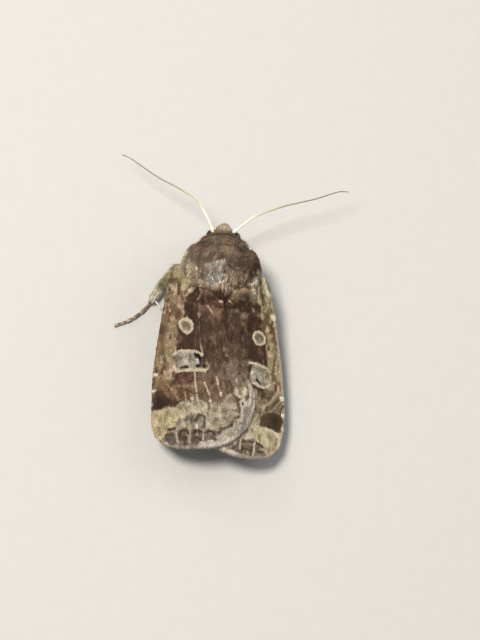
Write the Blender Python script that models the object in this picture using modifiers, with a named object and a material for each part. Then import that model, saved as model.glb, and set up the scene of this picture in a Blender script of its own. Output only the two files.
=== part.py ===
"""A resting owlet moth, life size, as solid pieces: Blender 4.5, metres, +Z up.

The moth stands on the floor on its six feet with its head towards +Y. Its forewings lie back over
the abdomen in a low roof, the left one on top. All sizes below are in millimetres and become metres
in one place, at() and the functions that use it. The origin is on the floor, under the middle of
the moth's bounding box.
"""

import math

import bmesh
import bpy
from mathutils import Matrix, Vector

MM = 0.001
GAP = 0.08  # clear space between neighbouring pieces

# The body's own middle, in the frame the moth is laid out in, and how far it is turned clockwise.
BODY_X = -0.10
BODY_YAW = math.radians(-5)

# Eggs: centre and half sizes (across, along, up), and how much wider each grows towards the front.
THORAX = dict(centre=(0, -0.40, 3.42), half=(3.02, 2.50, 2.34), taper=-0.16, around=24, rings=15)
BACK_TUFT = dict(centre=(0.05, -2.45, 4.42), half=(1.10, 1.20, 0.80), taper=0.10, around=14, rings=8)
COLLAR = dict(centre=(0, 1.62, 3.82), half=(2.12, 0.98, 1.50), taper=-0.10, around=24, rings=10)
FACE = dict(centre=(0, 2.62, 2.62), half=(1.24, 0.98, 1.22), taper=-0.10, around=18, rings=10)
CREST = dict(centre=(0, 3.02, 3.04), half=(0.82, 0.92, 0.72), taper=-0.12, around=14, rings=8)
EYE = dict(centre=(1.08, 2.96, 2.36), half=(0.70, 0.70, 0.70), taper=0, around=16, rings=9)
TEGULA = dict(centre=(2.50, -0.48, 3.92), half=(1.10, 2.05, 1.28), taper=-0.12, around=18, rings=12)
ABDOMEN = dict(centre=(-0.34, -7.55, 1.86), half=(2.06, 5.25, 1.28), taper=0.16, around=16, rings=24)
ABDOMEN_RINGS = 8
RING_DEPTH = 0.035  # how far the joints between the abdomen's rings sink, as a share of its size

# The roof that the wings make: its ridge falls from front to back, its sides reach down to the eaves.
RIDGE_FRONT_Y, RIDGE_LENGTH = -3.0, 13.5
RIDGE_HEIGHT, RIDGE_FALL, RIDGE_BEND = 5.05, 1.70, 1.6
EAVES_HEIGHT, ROOF_HALF_WIDTH, ROOF_BEND = 1.60, 5.95, 2.2

# A forewing in its own plane: s runs back along the front edge from its root, t in across the wing.
WING_THICKNESS = 0.45
COSTA = ((0.0, 0.0), (2.4, -0.54), (8.6, -0.82), (13.3, -0.54), (15.0, -0.16), (15.45, 0.25))
LEFT_TERMEN = ((15.45, 0.25), (16.1, 1.40), (16.15, 3.30), (15.5, 5.75), (14.0, 7.45), (12.3, 8.05))
RIGHT_TERMEN = ((15.45, 0.25), (16.2, 1.50), (16.05, 3.20), (15.1, 5.50), (13.6, 7.35), (12.3, 8.05))
DORSUM = ((0.5, 2.0), (2.5, 4.10), (6.4, 5.05), (9.0, 6.75), (10.8, 7.80), (12.3, 8.05))
WING_ROOT = ((0.0, 0.0), (0.2, 1.0), (0.5, 2.0))
WING_ROOT_AT = (3.85, -0.70)  # on the body, each side of its middle
LEFT_SPLAY, RIGHT_SPLAY = math.radians(6.0), math.radians(5.1)
LEFT_LIFT, RIGHT_LIFT = 0.30, -0.30  # the left forewing lies over the right

# A hindwing, folded out of sight between the forewings and the abdomen, laid out like the roof.
HIND_LIFT = -1.02
HIND_COSTA = ((3.1, -1.9), (4.2, -4.0), (4.75, -8.5), (4.75, -12.0))
HIND_TERMEN = ((4.75, -12.0), (4.0, -13.6), (2.2, -14.2), (0.25, -13.3))
HIND_DORSUM = ((1.6, -2.6), (0.45, -4.6), (0.25, -8.5), (0.25, -13.3))
HIND_ROOT = ((3.1, -1.9), (2.3, -2.2), (1.6, -2.6))

# Feelers: where each stem runs, from the brow to its tip, and how thick it is at both ends.
ANTENNA_THICKNESS = (0.56, 0.50, 0.46)
RIGHT_ANTENNA = (
    (0.98, 2.98, 3.30), (1.76, 3.58, 3.60), (2.86, 4.34, 3.90), (4.08, 4.83, 4.00), (5.40, 5.33, 4.00),
    (6.73, 5.75, 3.90), (8.16, 6.18, 3.80), (9.41, 6.69, 3.70), (10.32, 7.03, 3.60), (11.04, 7.07, 3.50),
)
LEFT_ANTENNA = (
    (-0.84, 2.98, 3.30), (-1.17, 3.75, 3.60), (-1.58, 4.50, 3.80), (-2.03, 5.25, 3.90), (-2.60, 5.86, 4.00),
    (-3.30, 6.35, 3.90), (-4.15, 6.90, 3.80), (-5.08, 7.47, 3.60), (-6.00, 8.10, 3.40), (-6.82, 8.76, 3.20),
    (-7.54, 9.38, 3.00), (-8.15, 9.88, 2.80), (-8.77, 10.21, 2.70),
)

# Mouth parts, on the body: a feeler beside the mouth on each side, and the coiled tongue between.
PALP = ((0.46, 3.02, 1.42), (0.46, 3.52, 1.42), (0.46, 3.86, 1.86), (0.44, 3.92, 2.36))
PALP_THICKNESS = (0.52, 0.60, 0.56, 0.36)
TONGUE = dict(centre=(0, 3.52, 1.66), ring=0.25, wire=0.13)

# Legs: root, knee, ankle, then the foot's line along the floor.
FOOT_HEIGHT = 0.17  # the height of the foot's middle line; what is below the floor is cut off flat
FEMUR_THICKNESS, TIBIA_THICKNESS, FOOT_THICKNESS = (0.82, 1.08, 0.76), (0.66, 0.90, 0.72), (0.54, 0.50)
FORE_LEG = dict(root=(0.95, 1.10, 1.30), knee=(1.95, 2.30, 1.62), ankle=(2.30, 1.55, 0.42))
FORE_FOOT = ((2.28, 1.78), (2.05, 2.75), (1.30, 3.70))
LEFT_MID_LEG = dict(root=(-1.15, 0.10, 1.30), knee=(-4.05, 0.00, 2.02), ankle=(-5.98, -2.48, 0.52))
LEFT_MID_FOOT = ((-6.18, -2.85), (-6.92, -3.64), (-7.85, -4.32), (-9.00, -4.78))
RIGHT_MID_LEG = dict(root=(1.15, -0.05, 1.30), knee=(3.20, -0.55, 1.62), ankle=(4.05, -2.90, 0.42))
RIGHT_MID_FOOT = ((4.12, -3.20), (4.30, -5.00), (4.20, -6.90))
HIND_LEG = dict(root=(0.95, -1.60, 1.25), knee=(2.75, -3.10, 1.42), ankle=(3.35, -7.00, 0.42))
HIND_FOOT = ((3.38, -7.30), (3.35, -9.30), (3.10, -11.40))

COLOURS = {
    "thorax_coat": (0.150, 0.098, 0.064, 0.80),
    "head_coat": (0.330, 0.262, 0.190, 0.80),
    "abdomen_coat": (0.290, 0.225, 0.160, 0.80),
    "forewing": (0.120, 0.072, 0.042, 0.65),
    "hindwing": (0.300, 0.262, 0.220, 0.60),
    "antenna": (0.420, 0.390, 0.310, 0.55),
    "leg_coat": (0.440, 0.370, 0.260, 0.70),
    "eye": (0.020, 0.016, 0.012, 0.18),
    "tongue": (0.180, 0.105, 0.050, 0.40),
}


def clear_scene():
    for obj in list(bpy.data.objects):
        bpy.data.objects.remove(obj)


def collection(name):
    made = bpy.data.collections.new(name)
    bpy.context.scene.collection.children.link(made)
    return made


def coat(name):
    """The material of that name, made when it is first asked for."""
    found = bpy.data.materials.get(name)
    if found:
        return found
    red, green, blue, roughness = COLOURS[name]
    made = bpy.data.materials.new(name)
    made.use_nodes = True
    shader = made.node_tree.nodes["Principled BSDF"]
    shader.inputs["Base Color"].default_value = (red, green, blue, 1)
    shader.inputs["Roughness"].default_value = roughness
    shader.inputs["Metallic"].default_value = 0
    return made


def at(x, y, z):
    return Vector((x, y, z)) * MM


def on_body(x, y, z=0.0):
    """A point given on the straight body, where it goes once the body is turned."""
    return Matrix.Rotation(BODY_YAW, 3, "Z") @ Vector((x, y, z)) + Vector((BODY_X, 0, 0))


def add(name, mesh, material, moth):
    obj = bpy.data.objects.new(name, mesh)
    mesh.materials.append(coat(material))
    moth.objects.link(obj)
    for polygon in mesh.polygons:
        polygon.use_smooth = True
    return obj


def mesh_from(name, shape):
    mesh = bpy.data.meshes.new(name)
    shape.to_mesh(mesh)
    shape.free()
    return mesh


def egg(name, form, grow=0.0, turned=True, ring_marks=0):
    """A closed rounded form with its poles fore and aft. grow makes it bigger all round."""
    shape = bmesh.new()
    bmesh.ops.create_uvsphere(shape, u_segments=form["around"], v_segments=form["rings"], radius=1)
    middle, half = Vector(form["centre"]), form["half"]
    for vertex in shape.verts:
        across, along, up = vertex.co.x, vertex.co.z, -vertex.co.y
        wide = 1 + form["taper"] * along
        if ring_marks:
            sunk = abs(math.cos(ring_marks * math.acos(max(-1, min(1, along))))) ** 6
            wide *= 1 - RING_DEPTH * sunk
        place = Vector((
            across * (half[0] * wide + grow),
            along * (half[1] + grow),
            up * (half[2] * wide + grow),
        )) + middle
        vertex.co = (on_body(*place) if turned else place) * MM
    return mesh_from(name, shape)


def mirrored(form):
    x, y, z = form["centre"]
    return {**form, "centre": (-x, y, z)}


def curve_through(points, steps):
    """Points on a smooth curve through the given ones (Catmull-Rom), with steps to each span."""
    ends = [2 * points[0] - points[1], *points, 2 * points[-1] - points[-2]]
    found = []
    for i in range(1, len(ends) - 2):
        a, b, c, d = ends[i - 1:i + 3]
        for k in range(steps):
            u = k / steps
            found.append(0.5 * (2 * b + (c - a) * u + (2 * a - 5 * b + 4 * c - d) * u**2
                                + (3 * b - 3 * c + d - a) * u**3))
    return [*found, points[-1]]


def even_line(start, end, steps):
    return [start.lerp(end, i / steps) for i in range(steps + 1)]


def tube(name, points, thickness, grow=0.0):
    """A round tube along points, whose thickness runs through the given ones, spread evenly."""
    curve = bpy.data.curves.new(name, "CURVE")
    curve.dimensions = "3D"
    curve.bevel_depth = MM
    curve.bevel_resolution = 2
    curve.use_fill_caps = True
    if grow:
        ahead = (points[0] - points[1]).normalized() * grow
        behind = (points[-1] - points[-2]).normalized() * grow
        points = [points[0] + ahead, *points[1:-1], points[-1] + behind]
    spline = curve.splines.new("POLY")
    spline.points.add(len(points) - 1)
    steps = len(thickness) - 1
    for i, point in enumerate(points):
        place = i / (len(points) - 1) * steps
        low = min(int(place), steps - 1)
        here = thickness[low] + (thickness[low + 1] - thickness[low]) * (place - low)
        spline.points[i].co = (*(point * MM), 1)
        spline.points[i].radius = here / 2 + grow
    guide = bpy.data.objects.new(name + "_line", curve)
    bpy.context.scene.collection.objects.link(guide)
    bpy.context.view_layer.update()
    mesh = bpy.data.meshes.new_from_object(guide.evaluated_get(bpy.context.evaluated_depsgraph_get()))
    bpy.data.objects.remove(guide)
    shape = bmesh.new()
    shape.from_mesh(mesh)
    bmesh.ops.remove_doubles(shape, verts=shape.verts, dist=1e-6)
    return mesh_from(name, shape)


def cutter(name, mesh, cutters):
    obj = bpy.data.objects.new(name, mesh)
    obj.display_type = "WIRE"
    obj.hide_render = True
    cutters.objects.link(obj)
    return obj


def cut(obj, *tools, operation="DIFFERENCE"):
    for tool in tools:
        modifier = obj.modifiers.new(tool.name, "BOOLEAN")
        modifier.operation = operation
        modifier.object = tool
        modifier.solver = "EXACT"


def keep_biggest(obj):
    """Applies obj's cuts and drops the slivers that they leave apart from the main piece."""
    bpy.context.view_layer.update()
    mesh = bpy.data.meshes.new_from_object(obj.evaluated_get(bpy.context.evaluated_depsgraph_get()))
    obj.modifiers.clear()
    shape = bmesh.new()
    shape.from_mesh(mesh)
    bmesh.ops.remove_doubles(shape, verts=shape.verts, dist=1e-6)
    left, islands = set(shape.verts), []
    while left:
        island, edge = set(), [left.pop()]
        while edge:
            vertex = edge.pop()
            island.add(vertex)
            near = {e.other_vert(vertex) for e in vertex.link_edges} & left
            left -= near
            edge.extend(near)
        islands.append(island)
    biggest = max(islands, key=len)
    bmesh.ops.delete(shape, geom=[v for v in shape.verts if v not in biggest], context="VERTS")
    shape.to_mesh(mesh)
    shape.free()
    obj.data = mesh


def roof_height(x, y):
    """The height of the wings' roof over the floor."""
    back = max(0.0, (RIDGE_FRONT_Y - y) / RIDGE_LENGTH)
    ridge = RIDGE_HEIGHT - RIDGE_FALL * back**RIDGE_BEND
    side = min(1.0, abs(x) / ROOF_HALF_WIDTH)
    return EAVES_HEIGHT + (ridge - EAVES_HEIGHT) * (1 - side**ROOF_BEND)


def along_curve(points, share):
    """The point at that share of a smooth curve's length through flat points."""
    fine = curve_through([Vector((*p, 0)) for p in points], 12)
    lengths = [0.0]
    for a, b in zip(fine, fine[1:]):
        lengths.append(lengths[-1] + (b - a).length)
    wanted = share * lengths[-1]
    for i in range(1, len(fine)):
        if wanted <= lengths[i] or i == len(fine) - 1:
            part = (wanted - lengths[i - 1]) / (lengths[i] - lengths[i - 1])
            return fine[i - 1].lerp(fine[i], min(1.0, part))


def patch(front, outer, inner, root, u, v):
    """A point of the sheet between four edges: u runs from root to outer edge, v from front to inner."""
    edges = (
        along_curve(front, u) * (1 - v) + along_curve(inner, u) * v
        + along_curve(root, v) * (1 - u) + along_curve(outer, v) * u
    )
    corners = (
        Vector((*front[0], 0)) * (1 - u) * (1 - v) + Vector((*front[-1], 0)) * u * (1 - v)
        + Vector((*inner[0], 0)) * (1 - u) * v + Vector((*inner[-1], 0)) * u * v
    )
    return edges - corners


def wing(name, edges, place, lift, material, moth, steps=(14, 10)):
    """A sheet between four edges, carried by place() onto the roof and given its thickness below."""
    shape = bmesh.new()
    bmesh.ops.create_grid(shape, x_segments=steps[0], y_segments=steps[1], size=1)
    for vertex in shape.verts:
        flat = patch(*edges, (vertex.co.x + 1) / 2, (vertex.co.y + 1) / 2)
        x, y = place(flat.x, flat.y)
        vertex.co = at(x, y, roof_height(x, y) + lift)
    if sum((f.normal.z for f in shape.faces)) < 0:
        bmesh.ops.reverse_faces(shape, faces=shape.faces)
    for face in shape.faces:
        face.normal_update()
    if sum(f.normal.z for f in shape.faces) < 0:
        bmesh.ops.reverse_faces(shape, faces=shape.faces)
    mesh = bpy.data.meshes.new(name)
    shape.to_mesh(mesh)
    shape.free()
    obj = add(name, mesh, material, moth)
    solid = obj.modifiers.new("thickness", "SOLIDIFY")
    solid.thickness = WING_THICKNESS * MM
    solid.offset = -1
    return obj


def forewing_place(side, splay):
    """Takes a point of the wing's own plane to the roof: side is -1 on the left and 1 on the right."""
    root = on_body(side * WING_ROOT_AT[0], WING_ROOT_AT[1])
    back = (side * math.sin(splay), -math.cos(splay))
    inward = (-side * math.cos(splay), -math.sin(splay))
    return lambda s, t: (root.x + s * back[0] + t * inward[0], root.y + s * back[1] + t * inward[1])


def leg(name, limb, foot, tools, floor, moth, cutters):
    """Thigh, shin and foot, each cut back from the piece above it, and the foot flat on the floor."""
    root, knee, ankle = (Vector(limb[k]) for k in ("root", "knee", "ankle"))
    toes = curve_through([Vector((*p, FOOT_HEIGHT)) for p in foot], 2)
    lines = {"femur": even_line(root, knee, 2), "tibia": even_line(knee, ankle, 2), "tarsus": [ankle, *toes]}
    sizes = {"femur": FEMUR_THICKNESS, "tibia": TIBIA_THICKNESS, "tarsus": FOOT_THICKNESS}
    above = list(tools)
    for part, line in lines.items():
        piece = add(f"{name}_{part}", tube(part, line, sizes[part]), "leg_coat", moth)
        cut(piece, *above)
        if part == "tarsus":
            cut(piece, floor)
        keep_biggest(piece)
        grown = tube(part + "_cutter", line, sizes[part], grow=GAP)
        above = [cutter(f"{name}_{part}_cutter", grown, cutters)]


def body(moth, cutters):
    """Thorax, collar, head and abdomen, each cut back from the one before."""
    thorax_room = cutter("thorax_room", egg("thorax_room", THORAX, GAP), cutters)
    tuft_room = cutter("tuft_room", egg("tuft_room", BACK_TUFT, GAP), cutters)
    collar_room = cutter("collar_room", egg("collar_room", COLLAR, GAP), cutters)
    thorax = add("thorax", egg("thorax", THORAX), "thorax_coat", moth)
    cut(thorax, cutter("back_tuft", egg("back_tuft", BACK_TUFT), cutters), operation="UNION")
    keep_biggest(thorax)

    collar = add("collar", egg("collar", COLLAR), "thorax_coat", moth)
    cut(collar, thorax_room)
    keep_biggest(collar)

    head = add("head", egg("head", FACE), "head_coat", moth)
    cut(head, cutter("crest", egg("crest", CREST), cutters), operation="UNION")
    for label, ball in (("left", mirrored(EYE)), ("right", EYE)):
        add(f"eye_{label}", egg("eye", ball), "eye", moth)
        cut(head, cutter(f"eye_room_{label}", egg("eye_room", ball, GAP), cutters))
    cut(head, collar_room, thorax_room)
    keep_biggest(head)

    abdomen = add("abdomen", egg("abdomen", ABDOMEN, turned=False, ring_marks=ABDOMEN_RINGS),
                  "abdomen_coat", moth)
    cut(abdomen, thorax_room, tuft_room)
    keep_biggest(abdomen)
    return [thorax_room, tuft_room]


def face_parts(moth, cutters):
    """Antennae, palps and tongue, which start just clear of the head."""
    head_room = [cutter("face_room", egg("face_room", FACE, GAP), cutters),
                 cutter("crest_room", egg("crest_room", CREST, GAP), cutters)]
    for label, line in (("left", LEFT_ANTENNA), ("right", RIGHT_ANTENNA)):
        stem = tube("antenna", curve_through([Vector(p) for p in line], 2), ANTENNA_THICKNESS)
        antenna = add(f"antenna_{label}", stem, "antenna", moth)
        cut(antenna, *head_room, bpy.data.objects["collar_room"], bpy.data.objects[f"eye_room_{label}"])
        keep_biggest(antenna)
    for side, label in ((-1, "left"), (1, "right")):
        line = curve_through([on_body(side * x, y, z) for x, y, z in PALP], 3)
        palp = add(f"palp_{label}", tube("palp", line, PALP_THICKNESS), "head_coat", moth)
        cut(palp, *head_room, bpy.data.objects[f"eye_room_{label}"])
        keep_biggest(palp)
    bpy.ops.mesh.primitive_torus_add(
        major_radius=TONGUE["ring"] * MM, minor_radius=TONGUE["wire"] * MM,
        major_segments=16, minor_segments=8,
        location=on_body(*TONGUE["centre"]) * MM, rotation=(0, math.radians(90), BODY_YAW))
    tongue = bpy.context.object
    tongue.name = "tongue"
    tongue.data.materials.append(coat("tongue"))
    for held in tongue.users_collection:
        held.objects.unlink(tongue)
    moth.objects.link(tongue)
    cut(tongue, *head_room)
    keep_biggest(tongue)


def wings(moth, cutters, trunk_rooms):
    """Shoulder plates over the wing roots, the two forewings, and the folded hindwings under them."""
    plate_rooms = []
    for side, label in ((-1, "left"), (1, "right")):
        form = TEGULA if side > 0 else mirrored(TEGULA)
        plate = add(f"tegula_{label}", egg("tegula", form), "thorax_coat", moth)
        cut(plate, *trunk_rooms, bpy.data.objects["collar_room"])
        keep_biggest(plate)
        plate_rooms.append(cutter(f"tegula_room_{label}", egg("tegula_room", form, GAP), cutters))
    hind = (HIND_COSTA, HIND_TERMEN, HIND_DORSUM, HIND_ROOT)
    for side, label, termen, splay, lift in (
        (-1, "left", LEFT_TERMEN, LEFT_SPLAY, LEFT_LIFT),
        (1, "right", RIGHT_TERMEN, RIGHT_SPLAY, RIGHT_LIFT),
    ):
        fore = (COSTA, termen, DORSUM, WING_ROOT)
        made = [
            wing(f"forewing_{label}", fore, forewing_place(side, splay), lift, "forewing", moth, (14, 9)),
            wing(f"hindwing_{label}", hind, lambda x, y, side=side: (side * x + ABDOMEN["centre"][0], y),
                 HIND_LIFT, "hindwing", moth, (11, 8)),
        ]
        for sheet in made:
            cut(sheet, *trunk_rooms, *plate_rooms)
            keep_biggest(sheet)


def legs(moth, cutters, trunk_rooms):
    bpy.ops.mesh.primitive_cube_add(size=40 * MM, location=at(0, 0, -20))
    floor = bpy.context.object
    floor.name = "floor_cutter"
    floor.display_type = "WIRE"
    floor.hide_render = True
    for held in floor.users_collection:
        held.objects.unlink(floor)
    cutters.objects.link(floor)
    belly = cutter("belly_room", egg("belly_room", ABDOMEN, GAP, turned=False), cutters)
    tools = [*trunk_rooms, belly]

    def flipped(points):
        return tuple((-x, *rest) for x, *rest in points)

    for side, label in ((-1, "left"), (1, "right")):
        for name, limb, foot in (("fore_leg", FORE_LEG, FORE_FOOT), ("hind_leg", HIND_LEG, HIND_FOOT)):
            if side < 0:
                limb = dict(zip(limb, flipped(limb.values())))
                foot = flipped(foot)
            leg(f"{name}_{label}", limb, foot, tools, floor, moth, cutters)
    leg("mid_leg_left", LEFT_MID_LEG, LEFT_MID_FOOT, tools, floor, moth, cutters)
    leg("mid_leg_right", RIGHT_MID_LEG, RIGHT_MID_FOOT, tools, floor, moth, cutters)


def stand_on_origin(moth, cutters):
    """Moves everything so that the origin is on the floor under the middle of the bounding box."""
    bpy.context.view_layer.update()
    graph = bpy.context.evaluated_depsgraph_get()
    solids = [obj.evaluated_get(graph) for obj in moth.objects]
    corners = [solid.matrix_world @ Vector(c) for solid in solids for c in solid.bound_box]
    middle = [(min(c[i] for c in corners) + max(c[i] for c in corners)) / 2 for i in range(2)]
    root = bpy.data.objects.new("moth", None)
    bpy.context.scene.collection.objects.link(root)
    root.location = (-middle[0], -middle[1], 0)
    for obj in [*moth.objects, *cutters.objects]:
        obj.parent = root


clear_scene()
moth = collection("owlet_moth")
cutters = collection("cutters")
trunk_rooms = body(moth, cutters)
face_parts(moth, cutters)
wings(moth, cutters, trunk_rooms)
legs(moth, cutters, trunk_rooms)
stand_on_origin(moth, cutters)
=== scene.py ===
"""An owlet moth at rest on a table top, life size, dressed over its CAD frame.

Sizes are in millimetres unless a name says metres. Every piece is made in millimetres in the
frame's own axes and goes to metres once, in settle(). The moth's head is towards +Y.
"""

import math

import bmesh
import bpy
import numpy as np
from mathutils import Matrix, Vector


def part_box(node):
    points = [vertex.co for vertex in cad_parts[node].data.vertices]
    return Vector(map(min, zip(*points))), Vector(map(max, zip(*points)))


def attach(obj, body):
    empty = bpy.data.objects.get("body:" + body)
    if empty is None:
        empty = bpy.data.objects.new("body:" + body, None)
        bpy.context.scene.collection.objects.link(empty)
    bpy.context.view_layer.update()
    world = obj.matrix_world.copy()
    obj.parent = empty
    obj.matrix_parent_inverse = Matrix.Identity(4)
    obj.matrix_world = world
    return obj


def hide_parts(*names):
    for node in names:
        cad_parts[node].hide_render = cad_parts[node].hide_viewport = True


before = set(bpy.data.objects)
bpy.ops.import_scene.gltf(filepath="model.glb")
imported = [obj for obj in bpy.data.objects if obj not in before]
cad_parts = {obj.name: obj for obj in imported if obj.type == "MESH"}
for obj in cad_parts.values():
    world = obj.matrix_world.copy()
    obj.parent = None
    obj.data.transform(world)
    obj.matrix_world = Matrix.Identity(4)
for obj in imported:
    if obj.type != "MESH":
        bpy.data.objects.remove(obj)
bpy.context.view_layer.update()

# The studio.
# A wide table top of matt off-white board, three soft boxes and a pale sky. The camera looks down on
# the moth's back from a little behind and to its left.
MM = 0.001
CAMERA_AT = Vector((-0.01424, -0.06081, 0.17098))
LOOKS_AT = Vector((0.00066, -0.00108, 0.00183))
LENS = 117.05
TABLE_WIDTH = 1.6
TABLE_COLOUR = (0.47, 0.455, 0.43, 1)
SKY_COLOUR, SKY_STRENGTH = (0.95, 0.97, 1.0, 1), 0.36
SOFT_BOXES = (  # where in metres, width in metres, watts, colour
    ("key_light", (-0.11, 0.02, 0.28), 0.1, 1.18, (1.0, 0.97, 0.92)),
    ("fill_light", (0.26, 0.1, 0.16), 0.22, 0.36, (0.93, 0.96, 1.0)),
    ("back_light", (-0.14, 0.3, 0.2), 0.22, 0.3, (1.0, 0.98, 0.95)),
)

camera = bpy.data.objects.new("camera", bpy.data.cameras.new("camera"))
bpy.context.scene.collection.objects.link(camera)
backwards = (CAMERA_AT - LOOKS_AT).normalized()
rightwards = Vector((0, 1, 0)).cross(backwards).normalized()
turned = Matrix((rightwards, backwards.cross(rightwards), backwards)).transposed()
camera.matrix_world = Matrix.Translation(CAMERA_AT) @ turned.to_4x4()
camera.data.sensor_width = 36
camera.data.lens = LENS
camera.data.clip_start = 0.005
camera.data.clip_end = 10
bpy.context.scene.camera = camera

for name, place, width, watts, colour in SOFT_BOXES:
    light = bpy.data.lights.new(name, "AREA")
    light.shape, light.size, light.energy, light.color = "DISK", width, watts, colour
    box = bpy.data.objects.new(name, light)
    bpy.context.scene.collection.objects.link(box)
    box.location = place
    box.rotation_euler = (-Vector(place)).to_track_quat("-Z", "Y").to_euler()

sky = bpy.data.worlds.new("pale_sky")
sky.use_nodes = True
sky.node_tree.nodes["Background"].inputs["Color"].default_value = SKY_COLOUR
sky.node_tree.nodes["Background"].inputs["Strength"].default_value = SKY_STRENGTH
bpy.context.scene.world = sky
bpy.context.scene.view_settings.view_transform = "Standard"


def new_node(tree, kind, feeds=None, **settings):
    """Adds a node, sets it up, and feeds its inputs with values or with other nodes' outputs."""
    made = tree.nodes.new(kind)
    for key, value in settings.items():
        setattr(made, key, value)
    for name, value in (feeds or {}).items():
        socket = made.inputs[name] if isinstance(name, int) else next(
            s for s in made.inputs if s.name == name and s.enabled)
        if isinstance(value, bpy.types.Node):
            value = next(s for s in value.outputs if s.enabled)
        if isinstance(value, bpy.types.NodeSocket):
            tree.links.new(value, socket)
        else:
            socket.default_value = value
    return made


def new_finish(name, rough, specular):
    """A material with its shader's even values set on the shader itself."""
    made = bpy.data.materials.new(name)
    made.use_nodes = True
    shader = made.node_tree.nodes["Principled BSDF"]
    shader.inputs["Roughness"].default_value = rough
    shader.inputs["Specular IOR Level"].default_value = specular
    return made, made.node_tree, shader


board, tree, shader = new_finish("table_board", 0.85, 0.15)
grain = new_node(tree, "ShaderNodeTexNoise", {
    "Vector": new_node(tree, "ShaderNodeTexCoord").outputs["Object"], "Scale": 900.0, "Detail": 5.0})
tone = new_node(tree, "ShaderNodeMapRange", {"Value": grain, "To Min": 0.96, "To Max": 1.03})
tree.links.new(new_node(tree, "ShaderNodeHueSaturation", {
    "Value": tone.outputs["Result"], "Color": TABLE_COLOUR}).outputs[0], shader.inputs["Base Color"])
shape = bmesh.new()
bmesh.ops.create_grid(shape, x_segments=2, y_segments=2, size=TABLE_WIDTH / 2)
table_mesh = bpy.data.meshes.new("table")
shape.to_mesh(table_mesh)
shape.free()
table_mesh.materials.append(board)
table = bpy.data.objects.new("table", table_mesh)
bpy.context.scene.collection.objects.link(table)

# The body's skin.
# One soft skin runs over head, collar, shoulder plates, thorax and abdomen with no seam. The real one
# is a thin horny shell, dull brown, that all the scales and hair stand in.
EYES_AHEAD = 2.96        # how far the eyes lie ahead of the body's middle
BODY_ASIDE = -0.1        # where the body's middle is across the layout of wings, legs and feelers
FLESH = ("thorax", "collar", "tegula_left", "tegula_right", "head", "abdomen")
SWELL = 0.1              # how far the solids are swelled so that they meet
VOXEL = 0.095            # how fine the one skin is
COAT_DEPTH = dict(head=0.15, thorax=0.26, abdomen=0.2)  # how far the skin lies inside the solids


def box_middle(node):
    low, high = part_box(node)
    return np.array((low + high) / 2) / MM


def unit(vectors):
    return vectors / np.maximum(np.linalg.norm(vectors, axis=-1, keepdims=True), 1e-9)


left_eye, right_eye = box_middle("eye_left"), box_middle("eye_right")
EYE_RADIUS = 0.61
EYE_TUCK = np.array((0.12, -0.07, -0.05))  # how far the eyes are moved inwards, ahead and up
across = unit((right_eye - left_eye) * (1, 1, 0))
ahead = np.array((-across[1], across[0], 0))
body_axes = np.array((across, ahead, (0, 0, 1)))
body_middle = ((left_eye + right_eye) / 2 - ahead * EYES_AHEAD) * (1, 1, 0)
layout_middle = body_middle - (BODY_ASIDE, 0, 0)


def to_body(points):
    """Points of the frame as (right, ahead, up) on the straight body."""
    return (points - body_middle) @ body_axes.T


def from_body(points):
    return np.asarray(points, float) @ body_axes + body_middle


def laid_out(points):
    """Points given in the layout that wings, legs and feelers share, in the frame."""
    return np.asarray(points, float) + layout_middle


left_ball, right_ball = (eye + EYE_TUCK * (side, 1, 1) @ body_axes
                         for eye, side in ((left_eye, 1), (right_eye, -1)))


def rgb(red, green, blue):
    return np.array((red, green, blue), float) / 255


def ramp(value, low, high):
    """0 below low, 1 above high, and smooth between."""
    share = np.clip((value - low) / (high - low), 0, 1)
    return share * share * (3 - 2 * share)


def patches(p, q, size, seed):
    """Soft random patches about size across, from -1 to 1."""
    x, y = p / size + seed * 7.31, q / size + seed * 3.77
    column, row = np.floor(x), np.floor(y)
    x, y = ramp(x - column, 0, 1), ramp(y - row, 0, 1)

    def corner(a, b):
        value = np.sin(a * 127.1 + b * 311.7 + seed * 74.7) * 43758.5453
        return value - np.floor(value)

    near_row = corner(column, row) * (1 - x) + corner(column + 1, row) * x
    far_row = corner(column, row + 1) * (1 - x) + corner(column + 1, row + 1) * x
    return 2 * (near_row * (1 - y) + far_row * y) - 1


def gap_from(p, q, points):
    """How far each place is from a line through points."""
    gap = np.full(np.shape(p), 1e9)
    for (p0, q0), (p1, q1) in zip(points, points[1:]):
        dp, dq = p1 - p0, q1 - q0
        share = np.clip(((p - p0) * dp + (q - q0) * dq) / (dp * dp + dq * dq), 0, 1)
        gap = np.minimum(gap, np.hypot(p - p0 - share * dp, q - q0 - share * dq))
    return gap


def stripe(p, q, points, width, soft):
    """1 on a line through points that is so wide, and 0 clear of it."""
    return 1 - ramp(gap_from(p, q, points), width / 2 - soft / 2, width / 2 + soft)


def within(p, q, outline, soft):
    """1 inside an outline, and 0 outside it."""
    closed, inside = (*outline, outline[0]), np.zeros(np.shape(p), bool)
    for (p0, q0), (p1, q1) in zip(closed, closed[1:]):
        inside ^= ((q0 > q) != (q1 > q)) & (p < p0 + (p1 - p0) * (q - q0) / ((q1 - q0) or 1))
    gap = gap_from(p, q, closed)
    return ramp(np.where(inside, gap, -gap), -soft, soft)


def oval(p, q, at, size, turn, soft):
    """1 inside an oval of half sizes (along, across) at a place, and 0 outside it."""
    c, s = math.cos(turn), math.sin(turn)
    dp, dq = p - at[0], q - at[1]
    return 1 - ramp(np.hypot((dp * c + dq * s) / size[0], (dq * c - dp * s) / size[1]), 1 - soft, 1 + soft)


def square(p, q, p0, p1, q0, q1, soft):
    """1 inside a box from p0 to p1 and q0 to q1, and 0 outside it."""
    return (ramp(p, p0 - soft, p0 + soft) * (1 - ramp(p, p1 - soft, p1 + soft))
            * ramp(q, q0 - soft, q0 + soft) * (1 - ramp(q, q1 - soft, q1 + soft)))


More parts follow.
